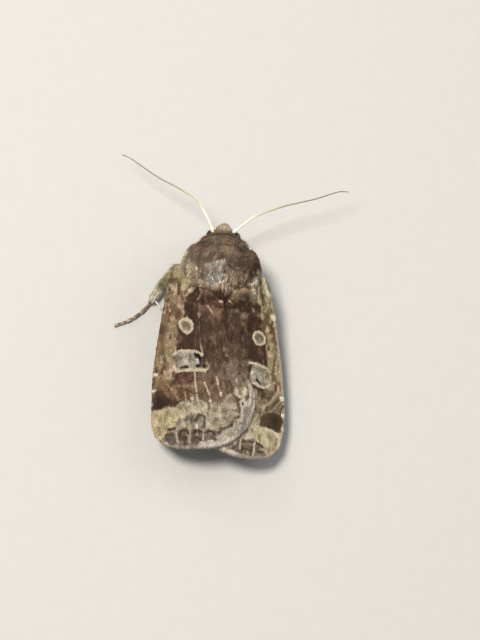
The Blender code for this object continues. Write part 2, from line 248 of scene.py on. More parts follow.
class Paint:
    """Colours, one for each place, painted in layers with soft masks. Channels run from 0 to 1."""

    def __init__(self, count, red, green, blue):
        self.colour = np.zeros((count, 3)) + rgb(red, green, blue)

    def lay(self, red, green, blue, mask):
        mask = np.clip(mask, 0, 1)[:, None]
        self.colour = self.colour * (1 - mask) + rgb(red, green, blue) * mask

    def shade(self, factor):
        self.colour = self.colour * factor[:, None]


def body_colours(points):
    """The body's markings, from brown shoulders and a frosted back tuft to a pale ringed abdomen, with some
    painted light and shade laid in among them.
    """
    x, y, z = to_body(points).T
    clump = patches(x + 0.5 * z, y - 0.4 * z, 0.8, 1)
    streak = patches(x * 1.6 + 0.7 * z, y * 0.55, 0.3, 2)
    fleck = patches(x + 0.8 * z, y * 0.6 + z, 0.17, 3)
    speck = patches(x * 1.2 + 0.8 * z, y + 0.9 * z, 0.22, 4)
    paint = Paint(len(x), 111, 91, 75)
    paint.lay(127, 109, 91, ramp(-x, 1.7, 2.3) * ramp(y, -0.4, 0.3))
    paint.lay(96, 77, 61, ramp(x, 0.8, 1.7) * ramp(y, -1.4, -0.8))
    paint.lay(124, 104, 84, stripe(x, y, [(-0.1, 1.3), (0.35, 0.0)], 0.5, 0.3) * 0.8)
    paint.lay(84, 69, 54, stripe(x, y, [(0.35, 2.6), (0.8, 2.0)], 0.6, 0.3) * 0.6)
    mottled = square(x, y, -2.6, 0.2, -0.5, 1.5, 0.3)
    paint.lay(146, 128, 112, mottled * ramp(streak + 0.8 * speck, 0.25, 0.9) * 0.55)
    paint.lay(88, 69, 56, mottled * ramp(-streak - 0.8 * speck, 0.3, 0.9) * 0.55)
    paint.lay(134, 115, 99, square(x, y, -2.4, -1.2, -2.1, -0.25, 0.3))
    # Behind, the hair is paler on the right, and is painted paler still there as painted light against the
    # shade behind the dome; it is pinkish over the wing roots and red-brown at the very tip.
    # paler hair on the right rear, partly its own colour and partly painted light over the shade behind the
    # dome
    paint.lay(176, 152, 126, square(x, y, 0.55, 2.3, -2.45, -0.95, 0.35) * (0.75 + 0.4 * streak))
    paint.lay(98, 80, 61, ramp(x, 2.2, 2.5) * ramp(-y, 0.6, 1.2))
    paint.lay(139, 119, 101, square(x, y, -2.0, 0.7, -2.55, -2.0, 0.2))
    paint.lay(108, 86, 68, ramp(-y, 2.45, 2.65) * square(x, y, -1.6, 2.4, -9, 0, 0.3))
    paint.lay(86, 60, 44, square(x, y, -0.6, 0.75, -4, -2.42, 0.15))
    paint.lay(88, 68, 52, square(x, y, 0.75, 2.3, -3.6, -2.52, 0.15) * 0.9)
    # The frosted tuft, left of the middle at the back, with the pale bar across its front.
    frost = within(x, y, ((-1.0, -0.6), (-0.2, -0.3), (0.2, -0.25), (0.35, -0.9), (0.4, -1.7), (0.0, -2.0),
                          (-1.0, -2.15), (-1.3, -1.9), (-1.0, -1.1)), 0.38)
    paint.lay(168, 156, 141, frost * (0.8 + 0.4 * streak))
    paint.lay(194, 183, 168, frost * ramp(streak + 0.7 * speck, 0.1, 0.8) * 0.8)
    paint.lay(120, 106, 92, frost * ramp(-streak - 0.7 * speck, 0.35, 1.0) * 0.55)
    paint.lay(204, 194, 178, oval(x, y, (-0.7, -0.88), (0.3, 0.32), 0, 0.5) * (0.8 + 0.4 * speck))
    paint.lay(230, 220, 204, oval(x, y, (-0.4, -1.72), (0.7, 0.48), 0, 0.6) * (0.75 + 0.5 * speck))
    bar = stripe(x, y, [(-1.15, -0.62), (-0.75, -0.56), (-0.3, -0.36), (0.12, -0.2)], 0.2, 0.12)
    paint.lay(212, 202, 187, bar * (0.75 + 0.35 * speck))
    paint.lay(104, 92, 79, stripe(x, y, [(0.15, -0.8), (0.25, -1.5)], 0.14, 0.1) * 0.8)
    paint.lay(160, 140, 124, oval(x, y, (0.85, -1.45), (0.22, 0.22), 0, 0.5) * 0.8)
    for line in ([(0.1, -1.95), (0.5, -2.5)], [(-1.7, -1.9), (-1.5, -2.6)], [(-1.15, -2.4), (-0.7, -2.7)]):
        paint.lay(182, 160, 140, stripe(x, y, line, 0.17, 0.08) * 0.9)
    # Shoulder plates: the left one edged with cream, the right one dark behind.
    left_edge = within(x, y, ((-3.6, 1.1), (-2.95, 0.6), (-2.6, -0.2), (-2.25, -0.6), (-1.9, -0.95),
                              (-1.65, -1.4), (-1.8, -1.6), (-2.4, -1.6), (-2.5, -1.85), (-2.0, -1.9),
                              (-2.0, -2.2), (-2.6, -2.4), (-4, -2.8), (-4.2, 0.5)), 0.16)
    paint.lay(178, 160, 130, left_edge * (0.9 + 0.3 * streak))
    paint.lay(206, 188, 158, left_edge * ramp(streak + 0.5 * speck, 0.2, 0.8) * 0.8)
    paint.lay(126, 106, 76, left_edge * ramp(-speck - 0.4 * streak, 0.3, 0.9) * 0.4)
    for line in ([(-2.45, -0.92), (-1.95, -1.02)], [(-2.3, -1.38), (-1.8, -1.36)]):
        paint.lay(206, 186, 156, stripe(x, y, line, 0.13, 0.08) * 0.5)
    paint.lay(96, 80, 58, oval(x, y, (-2.1, -1.72), (0.4, 0.15), 0, 0.4) * 0.6)
    paint.lay(88, 66, 51, ramp(x, 2.1, 2.8) * square(x, y, 0, 9, -2.8, 0.9, 0.35) * 0.8)
    paint.lay(58, 40, 28, stripe(x, y, [(2.75, -0.1), (2.55, -0.9)], 0.42, 0.2) * 0.85)
    paint.lay(158, 140, 122, ramp(x, 3.02, 3.3) * ramp(y, -0.7, 0.1) * 0.8)
    wedge = within(x, y, ((2.9, -0.3), (2.8, -0.9), (2.62, -1.4), (2.4, -1.8), (2.45, -2.7), (4, -2.9),
                          (4, -0.3)), 0.14)
    paint.lay(202, 185, 161, wedge * (0.85 + 0.3 * streak))
    paint.lay(232, 218, 196, wedge * ramp(streak + 0.6 * speck, 0.15, 0.7) * 0.85)
    paint.lay(104, 86, 66, wedge * ramp(-streak - 0.6 * speck, 0.35, 0.9) * 0.6)
    # The collar's darker and paler bars; on the head, a painted highlight on its top, with painted shade on
    # its sides and in the gap behind it.
    for colour, half, ends, middle, low, high, strength in (
            ((96, 78, 62), 1.6, 1.66, 2.02, 3, 3.6, 0.35), ((142, 122, 101), 1.5, 1.88, 2.22, 3, 3.6, 0.7),
            ((96, 79, 62), 1.4, 2.14, 2.46, 2.8, 3.4, 0.6)):
        bar = stripe(x, y, ((-half, ends), (0, middle), (half, ends)), 0.12, 0.12)
        paint.lay(*colour, bar * ramp(z, low, high) * strength)
    # a paler band just behind the collar: painted light over the shadow cast by the collar coat's edge
    paint.lay(134, 115, 98, square(x, y, -2.3, 2.3, 1.42, 1.85, 0.15) * 0.65)
    # a browner band where the collar meets the head: painted shade in the gap between them
    paint.lay(112, 93, 76, ramp(y, 2.5, 2.62) * ramp(z, 2.6, 3.2))
    head = ramp(y - 0.28 * ramp(z, 2.9, 3.5), 2.5, 2.64)
    paint.lay(154, 140, 116, head)
    # the paler cap on the head's top: a painted highlight
    paint.lay(182, 163, 138, head * oval(x, y, (0.15, 3.15), (0.55, 0.34), 0, 0.6) * 0.8)
    # darker towards the head's sides: painted shade where the dome turns away from the light
    paint.lay(106, 88, 68, head * ramp(np.abs(x + 0.05), 0.55, 0.95) * 0.8)
    paint.lay(170, 154, 130, head * ramp(2.4 - z, 0, 0.6))
    # Below, and the abdomen's rings.
    paint.lay(156, 138, 114, ramp(3.0 - z, 0, 1.1) * (1 - head) * ramp(y, -3.6, -3.0))
    abdomen = ramp(-y, 3.45, 3.8)
    paint.lay(148, 129, 106, abdomen)
    ring = np.abs(((y + 2.3) / 1.3125) % 1 - 0.5) * 2
    paint.lay(104, 86, 68, abdomen * ramp(ring, 0.72, 0.98) * ramp(z, 1.2, 2.0))
    paint.lay(172, 154, 128, abdomen * ramp(1.5 - z, 0, 0.8))
    paint.lay(186, 165, 134, abdomen * ramp(-y, 11.4, 12.4) * 0.8)
    paint.shade(1 + 0.11 * clump + 0.12 * streak + 0.11 * fleck)
    # pale specks over the whole coat: painted highlights on the hair tips
    paint.lay(186, 166, 142, ramp(speck + 0.5 * fleck, 0.62, 1.1) * 0.45)
    return paint.colour


KINDS = {"FLOAT": ("value", 1), "FLOAT_VECTOR": ("vector", 3), "FLOAT_COLOR": ("color", 4)}


def set_values(mesh, name, kind, values, domain="POINT"):
    found = mesh.attributes.get(name) or mesh.attributes.new(name, kind, domain)
    found.data.foreach_set(KINDS[kind][0], np.ascontiguousarray(values, np.float32).ravel())


def get_values(mesh, name):
    found = mesh.attributes[name]
    key, width = KINDS[found.data_type]
    values = np.empty(len(found.data) * width, np.float32)
    found.data.foreach_get(key, values)
    return values.reshape(-1, width).astype(float)


def places(mesh):
    values = np.empty(len(mesh.vertices) * 3, np.float32)
    mesh.vertices.foreach_get("co", values)
    return values.reshape(-1, 3).astype(float)


def normals(mesh):
    values = np.empty(len(mesh.vertices) * 3, np.float32)
    mesh.vertex_normals.foreach_get("vector", values)
    return values.reshape(-1, 3).astype(float)


def put_places(mesh, points):
    mesh.vertices.foreach_set("co", np.ascontiguousarray(points, np.float32).ravel())
    mesh.update()


def set_tint(mesh, colours):
    """Keeps display colours on the mesh as linear light, for its material to read."""
    colours = np.clip(colours, 0.01, 0.98)
    light = np.where(colours <= 0.04045, colours / 12.92, ((colours + 0.055) / 1.055) ** 2.4)
    set_values(mesh, "tint", "FLOAT_COLOR", np.column_stack((light, np.ones(len(light)))))


def tinted_finish(name, rough, grain_size, relief, sheen=0.0, specular=0.25, spread=0.12):
    """Scales or horn in the piece's own tint, with a fine grain in its colour and its relief."""
    made, tree, shader = new_finish(name, rough, specular)
    shader.inputs["Sheen Weight"].default_value = sheen
    shader.inputs["Sheen Roughness"].default_value = 0.5
    tint = new_node(tree, "ShaderNodeAttribute", attribute_name="tint")
    grain = new_node(tree, "ShaderNodeTexNoise", {
        "Vector": new_node(tree, "ShaderNodeTexCoord").outputs["Object"],
        "Scale": 1 / (grain_size * MM), "Detail": 4.0, "Roughness": 0.6})
    tone = new_node(tree, "ShaderNodeMapRange", {"Value": grain, "From Min": 0.3, "From Max": 0.7,
                                                 "To Min": 1 - spread, "To Max": 1 + spread})
    hue = new_node(tree, "ShaderNodeHueSaturation", {"Value": tone.outputs["Result"],
                                                     "Color": tint.outputs["Color"]})
    tree.links.new(hue.outputs[0], shader.inputs["Base Color"])
    bump = new_node(tree, "ShaderNodeBump", {"Strength": 1.0, "Distance": relief * MM, "Height": grain})
    tree.links.new(bump.outputs["Normal"], shader.inputs["Normal"])
    return made


def settle(name, mesh, finish, slot, *nodes):
    """Takes a finished piece from millimetres to metres and hangs it on the moth's one body."""
    put_places(mesh, places(mesh) * MM)
    mesh.materials.clear()
    mesh.materials.append(finish)
    mesh.polygons.foreach_set("use_smooth", np.ones(len(mesh.polygons), bool))
    mesh.polygons.foreach_set("material_index", np.zeros(len(mesh.polygons), np.int32))
    piece = bpy.data.objects.new(name, mesh)
    bpy.context.scene.collection.objects.link(piece)
    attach(piece, "root")
    if nodes:
        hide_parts(*nodes)


def evaluated_mesh(holder):
    """The mesh of an object with its modifiers applied. The object is then thrown away."""
    bpy.context.view_layer.update()
    made = bpy.data.meshes.new_from_object(holder.evaluated_get(bpy.context.evaluated_depsgraph_get()))
    holder.modifiers.clear()
    bpy.data.objects.remove(holder)
    return made


shape = bmesh.new()
for node, swell in [*((flesh, SWELL) for flesh in FLESH), ("eye_left", 0), ("eye_right", 0)]:
    part = bmesh.new()
    part.from_mesh(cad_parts[node].data)
    bmesh.ops.remove_doubles(part, verts=part.verts, dist=1e-6)
    bmesh.ops.scale(part, vec=(1 / MM,) * 3, verts=part.verts)
    part.normal_update()
    for vertex, away in [(v, v.normal.copy()) for v in part.verts]:
        vertex.co += away * swell
    grown_part = bpy.data.meshes.new("part")
    part.to_mesh(grown_part)
    part.free()
    shape.from_mesh(grown_part)
swelled = bpy.data.meshes.new("swelled")
shape.to_mesh(swelled)
shape.free()
holder = bpy.data.objects.new("swelled", swelled)
remesh = holder.modifiers.new("one_skin", "REMESH")
remesh.mode, remesh.voxel_size = "VOXEL", VOXEL
bpy.context.scene.collection.objects.link(holder)
skin = evaluated_mesh(holder)

edges = np.empty(len(skin.edges) * 2, np.int32)
skin.edges.foreach_get("vertices", edges)
edges = edges.reshape(-1, 2)
points = places(skin)
share = np.zeros(len(points))
np.add.at(share, edges.ravel(), 1)


def eased(values, rounds):
    """Values smoothed over the skin's own edges."""
    for _ in range(rounds):
        total = np.zeros_like(values)
        np.add.at(total, edges[:, 0], values[edges[:, 1]])
        np.add.at(total, edges[:, 1], values[edges[:, 0]])
        values = 0.5 * values + 0.5 * total / share[:, None]
    return values


points = eased(points, 7)
put_places(skin, points)
_, y, _ = to_body(points).T
depth = COAT_DEPTH["thorax"] + (COAT_DEPTH["head"] - COAT_DEPTH["thorax"]) * ramp(y, 2.0, 2.7)
depth += (COAT_DEPTH["abdomen"] - COAT_DEPTH["thorax"]) * ramp(-y, 3.0, 4.0)
points -= unit(eased(normals(skin), 3)) * (SWELL + depth)[:, None]
put_places(skin, eased(points, 3))
coat_bed = skin.copy()
set_tint(skin, body_colours(places(skin)) * 0.86)
skin_finish = tinted_finish("body_skin", 0.75, 0.1, 0.03, sheen=0.15)
settle("body_skin", skin, skin_finish, "thorax_coat", *FLESH)

# The eyes.
# Two bulging compound eyes, a hemisphere and more of each showing, made of thousands of six-sided
# lenses. They are dark brown and glossy, and sit tight in the sides of the head.
eye_finish, tree, shader = new_finish("eye_lenses", 0.22, 0.45)
shader.inputs["Coat Weight"].default_value = 0.25
shader.inputs["Coat Roughness"].default_value = 0.15
spot_place = new_node(tree, "ShaderNodeTexCoord").outputs["Object"]
blotch = new_node(tree, "ShaderNodeTexNoise", {"Vector": spot_place, "Scale": 3200.0, "Detail": 2.0})
eye_ramp = new_node(tree, "ShaderNodeValToRGB", {"Fac": blotch.outputs[0]})
for element, position, colour in zip(eye_ramp.color_ramp.elements, (0.38, 0.66),
                                     ((0.008, 0.005, 0.003, 1), (0.06, 0.036, 0.018, 1))):
    element.position, element.color = position, colour
tree.links.new(eye_ramp.outputs["Color"], shader.inputs["Base Color"])
lens = new_node(tree, "ShaderNodeTexVoronoi", {"Vector": spot_place, "Scale": 26000.0, "Randomness": 0.25},
                feature="F1")
lens_bump = new_node(tree, "ShaderNodeBump",
                     {"Strength": 0.6, "Distance": 0.000008, "Height": lens.outputs[0]}, invert=True)
tree.links.new(lens_bump.outputs["Normal"], shader.inputs["Normal"])
for side, middle in (("left", left_ball), ("right", right_ball)):
    shape = bmesh.new()
    bmesh.ops.create_icosphere(shape, subdivisions=5, radius=EYE_RADIUS)
    for vertex in shape.verts:  # a little flattened on its outer face
        vertex.co = vertex.co * (1 - 0.04 * max(0.0, abs(vertex.co.x) / EYE_RADIUS) ** 3)
        vertex.co += Vector(middle)
    mesh = bpy.data.meshes.new(f"eyeball_{side}")
    shape.to_mesh(mesh)
    shape.free()
    settle(f"eyeball_{side}", mesh, eye_finish, "eye", f"eye_{side}")

# The coat.
# Long narrow scales, as fine as hair, stand rooted in the skin and lie back over it in overlapping
# tufts: deep on the thorax, shoulder plates and collar, short on face and abdomen.
TUFT_OUTLINE = ((0.0, 0.0), (0.35, 0.5), (0.78, 0.38), (1.0, 0.0))  # along, half width: a pointed lock
PATCH = 0.003            # how wide a tuft's patch is on the piece's OFBake map


def blade(name, outline, bend):
    """A closed thin blade, its root at the origin and its tip at 1 along X, ridged on top."""
    rim = [(x, w) for x, w in outline] + [(x, -w) for x, w in reversed(outline) if w]
    verts = [(x, w, -bend * x * x) for x, w in rim]
    ridge = len(verts)
    verts.append((0.55, 0.0, 0.75 - bend * 0.3))
    count = len(rim)
    order = [*range(count)][::-1]
    faces = [(order[i], order[(i + 1) % count], ridge) for i in range(count)]
    faces += [(order[0], order[i + 1], order[i]) for i in range(1, count - 1)]
    mesh = bpy.data.meshes.new(name)
    mesh.from_pydata(verts, [], faces)
    set_values(mesh, "patch", "FLOAT_VECTOR", [(x, w + 0.5, 0) for x, w, _ in verts])
    return bpy.data.objects.new(name, mesh)


def inputs_of(tree, *sockets):
    """Gives a new tree its named inputs and its one output, and returns its input node."""
    face = tree.interface
    face.new_socket("Geometry", in_out="OUTPUT", socket_type="NodeSocketGeometry")
    for name, kind in (("Geometry", "Geometry"), *sockets):
        face.new_socket(name, in_out="INPUT", socket_type="NodeSocket" + kind)
    return tree.nodes.new("NodeGroupInput").outputs


def times(tree, *factors):
    result = factors[0]
    for factor in factors[1:]:
        result = new_node(tree, "ShaderNodeMath", {0: result, 1: factor}, operation="MULTIPLY")
    return result


def chance(tree, low, high, seed, turn):
    """A random number for each point; turn keeps two of them apart under one seed."""
    own_seed = new_node(tree, "ShaderNodeMath", {0: seed, 1: float(turn)}, operation="ADD")
    return new_node(tree, "FunctionNodeRandomValue", {"Min": low, "Max": high, "Seed": own_seed},
                    data_type="FLOAT")


def named(tree, name, kind="FLOAT"):
    return new_node(tree, "GeometryNodeInputNamedAttribute", {"Name": name}, data_type=kind)


def end_with(tree, points, template, rotation, scale, finish):
    """Sets a template out on points, makes it real mesh and gives it its finish."""
    shown = new_node(tree, "GeometryNodeObjectInfo", {"Object": template})
    laid = new_node(tree, "GeometryNodeInstanceOnPoints", {
        "Points": points, "Instance": shown.outputs["Geometry"], "Rotation": rotation, "Scale": scale})
    real = new_node(tree, "GeometryNodeRealizeInstances", {"Geometry": laid})
    last = new_node(tree, "GeometryNodeSetMaterial", {"Geometry": real, "Material": finish})
    tree.links.new(last.outputs[0], tree.nodes.new("NodeGroupOutput").inputs[0])


coat_tree = bpy.data.node_groups.new("tufts_on_skin", "GeometryNodeTree")
into = inputs_of(coat_tree, ("Template", "Object"), ("Finish", "Material"), ("Least gap", "Float"),
                 ("Density", "Float"), ("Length", "Float"), ("Width", "Float"), ("Thickness", "Float"),
                 ("Lift", "Float"), ("Scatter", "Float"), ("Seed", "Int"))
spread_out = new_node(coat_tree, "GeometryNodeDistributePointsOnFaces", {
    "Mesh": into["Geometry"], "Distance Min": into["Least gap"], "Density Max": into["Density"],
    "Density Factor": named(coat_tree, "thick"), "Seed": into["Seed"]}, distribute_method="POISSON")
rooted = new_node(coat_tree, "GeometryNodeStoreNamedAttribute", {
    "Geometry": spread_out, "Name": "root", "Value": new_node(coat_tree, "GeometryNodeInputPosition")},
    data_type="FLOAT_VECTOR", domain="POINT")
rooted = new_node(coat_tree, "GeometryNodeStoreNamedAttribute", {
    "Geometry": rooted, "Name": "lot", "Value": chance(coat_tree, 0.0, 1.0, into["Seed"], 1)},
    data_type="FLOAT", domain="POINT")
lying = new_node(coat_tree, "FunctionNodeAxesToRotation", {
    "Primary Axis": spread_out.outputs["Normal"], "Secondary Axis": named(coat_tree, "lie", "FLOAT_VECTOR")},
    primary_axis="Z", secondary_axis="X")
tilt = times(coat_tree, into["Lift"], chance(coat_tree, -1.4, -0.6, into["Seed"], 2),
             named(coat_tree, "stand"))
swing = times(coat_tree, into["Scatter"], chance(coat_tree, -1.0, 1.0, into["Seed"], 3))
lean = new_node(coat_tree, "ShaderNodeCombineXYZ", {
    "X": chance(coat_tree, -0.3, 0.3, into["Seed"], 4), "Y": tilt, "Z": swing})
lean = new_node(coat_tree, "FunctionNodeEulerToRotation", {"Euler": lean})
turn_to = new_node(coat_tree, "FunctionNodeRotateRotation", {"Rotation": lying, "Rotate By": lean},
                   rotation_space="LOCAL")
size = new_node(coat_tree, "ShaderNodeCombineXYZ", {
    "X": times(coat_tree, into["Length"], chance(coat_tree, 0.7, 1.2, into["Seed"], 5),
               named(coat_tree, "grow")),
    "Y": times(coat_tree, into["Width"], chance(coat_tree, 0.75, 1.2, into["Seed"], 6)),
    "Z": into["Thickness"]})
end_with(coat_tree, rooted, into["Template"], turn_to, size, into["Finish"])


def grown(mesh, tree, **values):
    """What a tree makes of a mesh, as a plain mesh."""
    holder = bpy.data.objects.new("holder", mesh)
    modifier = holder.modifiers.new("made_by_rule", "NODES")
    modifier.node_group = tree
    sockets = {s.name.replace(" ", "_").lower(): s.identifier for s in tree.interface.items_tree
               if s.item_type == "SOCKET" and s.in_out == "INPUT"}
    for name, value in values.items():
        modifier[sockets[name]] = value
    bpy.context.scene.collection.objects.link(holder)
    return evaluated_mesh(holder)


def set_unwrap(mesh, flat):
    """Keeps the skin's own unwrap on its corners: u across, v round, with no face torn at the seam."""
    corners = np.empty(len(mesh.loops), np.int32)
    mesh.loops.foreach_get("vertex_index", corners)
    count = np.empty(len(mesh.polygons), np.int32)
    mesh.polygons.foreach_get("loop_total", count)
    face = np.repeat(np.arange(len(count)), count)
    values = np.asarray(flat, float)[corners]
    high, low = np.full(len(count), -9.0), np.full(len(count), 9.0)
    np.maximum.at(high, face, values[:, 1])
    np.minimum.at(low, face, values[:, 1])
    torn = ((high - low) > 0.5)[face] & (values[:, 1] < 0.5)
    values[torn, 1] += 1
    set_values(mesh, "unwrap", "FLOAT_VECTOR", np.column_stack((values, np.zeros(len(values)))), "CORNER")


def finish_coat(mesh, colours, variety):
    """Paints each tuft from its root's colour, darker towards its root as painted shade, and gives it a small
    patch of the unwrap there.
    """
    lot, patch, flat = (get_values(mesh, k) for k in ("lot", "patch", "unwrap"))
    # the tint runs from 0.93 at the root to 1.05 at the tip: painted shade where the coat hides the tufts'
    # roots
    set_tint(mesh, colours * (1 + variety * (2 * lot - 1)) * (0.93 + 0.12 * patch[:, :1]))
    corners = np.empty(len(mesh.loops), np.int32)
    mesh.loops.foreach_get("vertex_index", corners)
    flat = np.column_stack((flat[:, 0], flat[:, 1] % 1))
    uv = 0.005 + 0.99 * flat + (patch[:, :2] - 0.5) * PATCH
    layer = mesh.uv_layers.new(name="OFBake")
    layer.data.foreach_set("uv", np.ascontiguousarray(uv[corners], np.float32).ravel())
    for name in ("lie", "grow", "stand", "thick", "root", "lot", "patch", "unwrap", "span"):
        if name in mesh.attributes:
            mesh.attributes.remove(mesh.attributes[name])


def along_round(x, y, z, front, back, height):
    """An unwrap by the share of the way back, and the share of the way round."""
    return np.column_stack(((front - y) / (front - back), (np.arctan2(z - height, x) / math.tau + 0.25) % 1))


def set_lie(mesh, lie, thick, grow, stand):
    count = len(mesh.vertices)
    set_values(mesh, "lie", "FLOAT_VECTOR", lie)
    for name, value in (("thick", thick), ("grow", grow), ("stand", stand)):
        set_values(mesh, name, "FLOAT", np.zeros(count) + value)


hair = blade("tuft_of_hair_scales", TUFT_OUTLINE, 1.6)
points = places(coat_bed)
x, y, z = to_body(points).T
set_unwrap(coat_bed, along_round(x, y, z, 4.2, -13.4, 2.9 - 1.0 * ramp(-y, 2.5, 5)))
below = ramp(2.9 - z, 0, 1.2)
eye_gap = np.minimum(*(np.linalg.norm(points - eye, axis=1) for eye in (left_ball, right_ball))) - EYE_RADIUS
behind_head = 1 - ramp(y - 0.28 * ramp(z, 2.9, 3.5), 2.42, 2.6)
COATS = (  # name, slot, where it grows, gap, tufts to a square mm, length, width, thickness, lift, scatter
    ("coat_of_collar", "thorax_coat", (y > 0.75) * behind_head, 0.034, 430, 0.55, 0.074, 0.02, 0.22, 0.26),
    ("coat_of_thorax", "thorax_coat", (y > -3.45) * (y <= 0.75), 0.034, 430, 0.58, 0.076, 0.02, 0.24, 0.26),
    ("coat_of_head", "head_coat", ramp(y, 2.35, 2.5) * (eye_gap > 0.03),
     0.027, 700, 0.29, 0.048, 0.015, 0.34, 0.3),
    ("coat_of_abdomen", "abdomen_coat", (y <= -3.45) * 1.0, 0.05, 190, 0.44, 0.1, 0.022, 0.22, 0.18),
)
outward = np.sign(x) * np.minimum(1, np.abs(x) / 2.4)
lie = np.column_stack((0.4 * outward, -np.ones(len(x)), -0.35 * np.abs(outward)))
collar = square(y, z, 0.9, 2.45, 2.6, 9, 0.2)
lie[:, 2] += 0.25 * collar
collar_corner = oval(np.abs(x), y, (1.62, 2.0), (0.55, 0.55), 0, 0.4)
shoulder_corner = oval(np.abs(x), y, (2.9, 1.0), (0.8, 0.75), 0, 0.4)
lie[:, 0] += np.sign(x) * (0.35 * collar_corner - 0.45 * shoulder_corner)
on_head = ramp(y, 2.45, 2.7)
head_lie = np.column_stack((0.5 * x, 0.9 - 0.9 * ramp(z, 2.9, 3.4), np.full(len(x), -0.5)))
top_lie = np.column_stack((0.45 * x, np.full(len(x), 0.8), 0.25 - 0.9 * ramp(y, 3.3, 3.8)))
head_lie = head_lie + (top_lie - head_lie) * ramp(z, 2.7, 3.3)[:, None]
lie += (head_lie - lie) * on_head[:, None]
lie = unit(lie) @ body_axes
grow = (1 + 0.25 * ramp(-y, 1.4, 2.6) * ramp(z, 3.4, 4.6) + 0.15 * below) * (1 - 0.25 * collar)
grow *= 1 - 0.35 * on_head * ramp(0.35 - eye_gap, 0, 0.3)
grow *= 1 + 1.1 * ramp(-y, 11.9, 12.7)
grow *= 1 + 0.3 * ramp(-y, 1.0, 2.4) * (1 - ramp(-y, 3.3, 3.5)) * ramp(z, 3.6, 4.6)
grow *= (1 + 1.0 * collar_corner) * (1 - 0.35 * shoulder_corner)
stand = 1 + 0.5 * collar * ramp(y, 1.9, 2.4) + 0.3 * below + 0.4 * square(x, y, -1.8, 1.8, -2.9, -1.2, 0.3)
tuft_finish = tinted_finish("hair_scales", 0.75, 0.06, 0.006, sheen=0.05, specular=0.1, spread=0.06)
for seed, (name, slot, where, gap, density, length, width, thickness, lift, scatter) in enumerate(COATS, 11):
    bed = coat_bed.copy()
    shadow = 1 - 0.35 * below if slot == "thorax_coat" else 1
    set_lie(bed, lie, where * shadow, grow, stand)
    mesh = grown(bed, coat_tree, template=hair, finish=tuft_finish, least_gap=gap, density=float(density),
                 length=length, width=width, thickness=thickness, lift=lift, scatter=scatter, seed=seed)
    finish_coat(mesh, body_colours(get_values(mesh, "root")), 0.14)
    settle(name, mesh, tuft_finish, slot)

# The feelers.
# Each is a plain thread of some eighty short joints on a thicker first joint set beside the eye. It
# is horn, dusted with scales: white near the head and grey-brown further out.
FEELER_RADII = (0.115, 0.105, 0.085, 0.062, 0.045)
FEELER_JOINTS = 84
FIRST_JOINT = 0.19       # radius
RIGHT_FEELER = (
    (0.98, 2.98, 3.3), (1.76, 3.58, 3.6), (2.86, 4.34, 3.9), (4.08, 4.83, 4), (5.4, 5.33, 4),
    (6.73, 5.75, 3.9), (8.16, 6.18, 3.8), (9.41, 6.69, 3.7), (10.32, 7.03, 3.6), (11.04, 7.07, 3.5),
)
LEFT_FEELER = (
    (-0.84, 2.98, 3.3), (-1.17, 3.75, 3.6), (-1.58, 4.5, 3.8), (-2.03, 5.25, 3.9), (-2.6, 5.86, 4),
    (-3.3, 6.35, 3.9), (-4.15, 6.9, 3.8), (-5.08, 7.47, 3.6), (-6, 8.1, 3.4), (-6.82, 8.76, 3.2),
    (-7.54, 9.38, 3), (-8.15, 9.88, 2.8), (-8.77, 10.21, 2.7),
)


def curve_through(points, steps):
    """Points on a smooth curve through the given ones, with so many steps to each span."""
    points = [np.asarray(p, float) for p in points]
    ends = [2 * points[0] - points[1], *points, 2 * points[-1] - points[-2]]
    found = []
    for a, b, c, d in zip(ends, ends[1:], ends[2:], ends[3:]):
        for u in np.arange(steps) / steps:
            found.append(0.5 * (2 * b + (c - a) * u + (2 * a - 5 * b + 4 * c - d) * u**2
                                + (3 * b - 3 * c + d - a) * u**3))
    return np.array([*found, points[-1]])


def measured_curve(points):
    """A smooth curve through the given points, and how far along it each of its own points lies."""
    fine = curve_through(points, 12)
    return fine, np.concatenate(([0], np.cumsum(np.linalg.norm(np.diff(fine, axis=0), axis=1))))


def even_points(points, count):
    """So many points, evenly spaced on a smooth curve through the given ones."""
    fine, gone = measured_curve(points)
    wanted = np.linspace(0, gone[-1], count)
    return np.column_stack([np.interp(wanted, gone, fine[:, k]) for k in range(fine.shape[1])])


def between(values, shares):
    """Values spread evenly from 0 to 1, read at the given shares."""
    return np.interp(shares, np.linspace(0, 1, len(values)), values)


bead_tree = bpy.data.node_groups.new("pieces_on_points", "GeometryNodeTree")
into = inputs_of(bead_tree, ("Template", "Object"), ("Finish", "Material"))
facing_along = new_node(bead_tree, "FunctionNodeAxesToRotation", {
    "Primary Axis": named(bead_tree, "along", "FLOAT_VECTOR"),
    "Secondary Axis": named(bead_tree, "over", "FLOAT_VECTOR")}, primary_axis="X", secondary_axis="Z")
end_with(bead_tree, into["Geometry"], into["Template"], facing_along,
         named(bead_tree, "size", "FLOAT_VECTOR"), into["Finish"])


def set_out(template, finish, points, along, over, size, **kept):
    """A template set out on points: its X axis along, its Z axis over, stretched to size."""
    mesh = bpy.data.meshes.new("points")
    mesh.from_pydata(np.asarray(points).tolist(), [], [])
    for name, value in (("along", along), ("over", over), ("size", size)):
        set_values(mesh, name, "FLOAT_VECTOR", np.zeros((len(points), 3)) + np.asarray(value, float))
    for name, value in kept.items():
        set_values(mesh, name, "FLOAT", value)
    made = grown(mesh, bead_tree, template=template, finish=finish)
    for name in ("along", "over", "size"):
        if name in made.attributes:
            made.attributes.remove(made.attributes[name])
    return made


def ring_faces(rings, sides):
    """Faces over a first point, so many rings of points, and a last point."""
    faces = [(0, 1 + (j + 1) % sides, 1 + j) for j in range(sides)]
    for i in range(rings - 1):
        a, b = 1 + i * sides, 1 + (i + 1) * sides
        faces += [(a + j, a + (j + 1) % sides, b + (j + 1) % sides, b + j) for j in range(sides)]
    last = 1 + rings * sides
    return faces + [(last, last - sides + j, last - sides + (j + 1) % sides) for j in range(sides)]


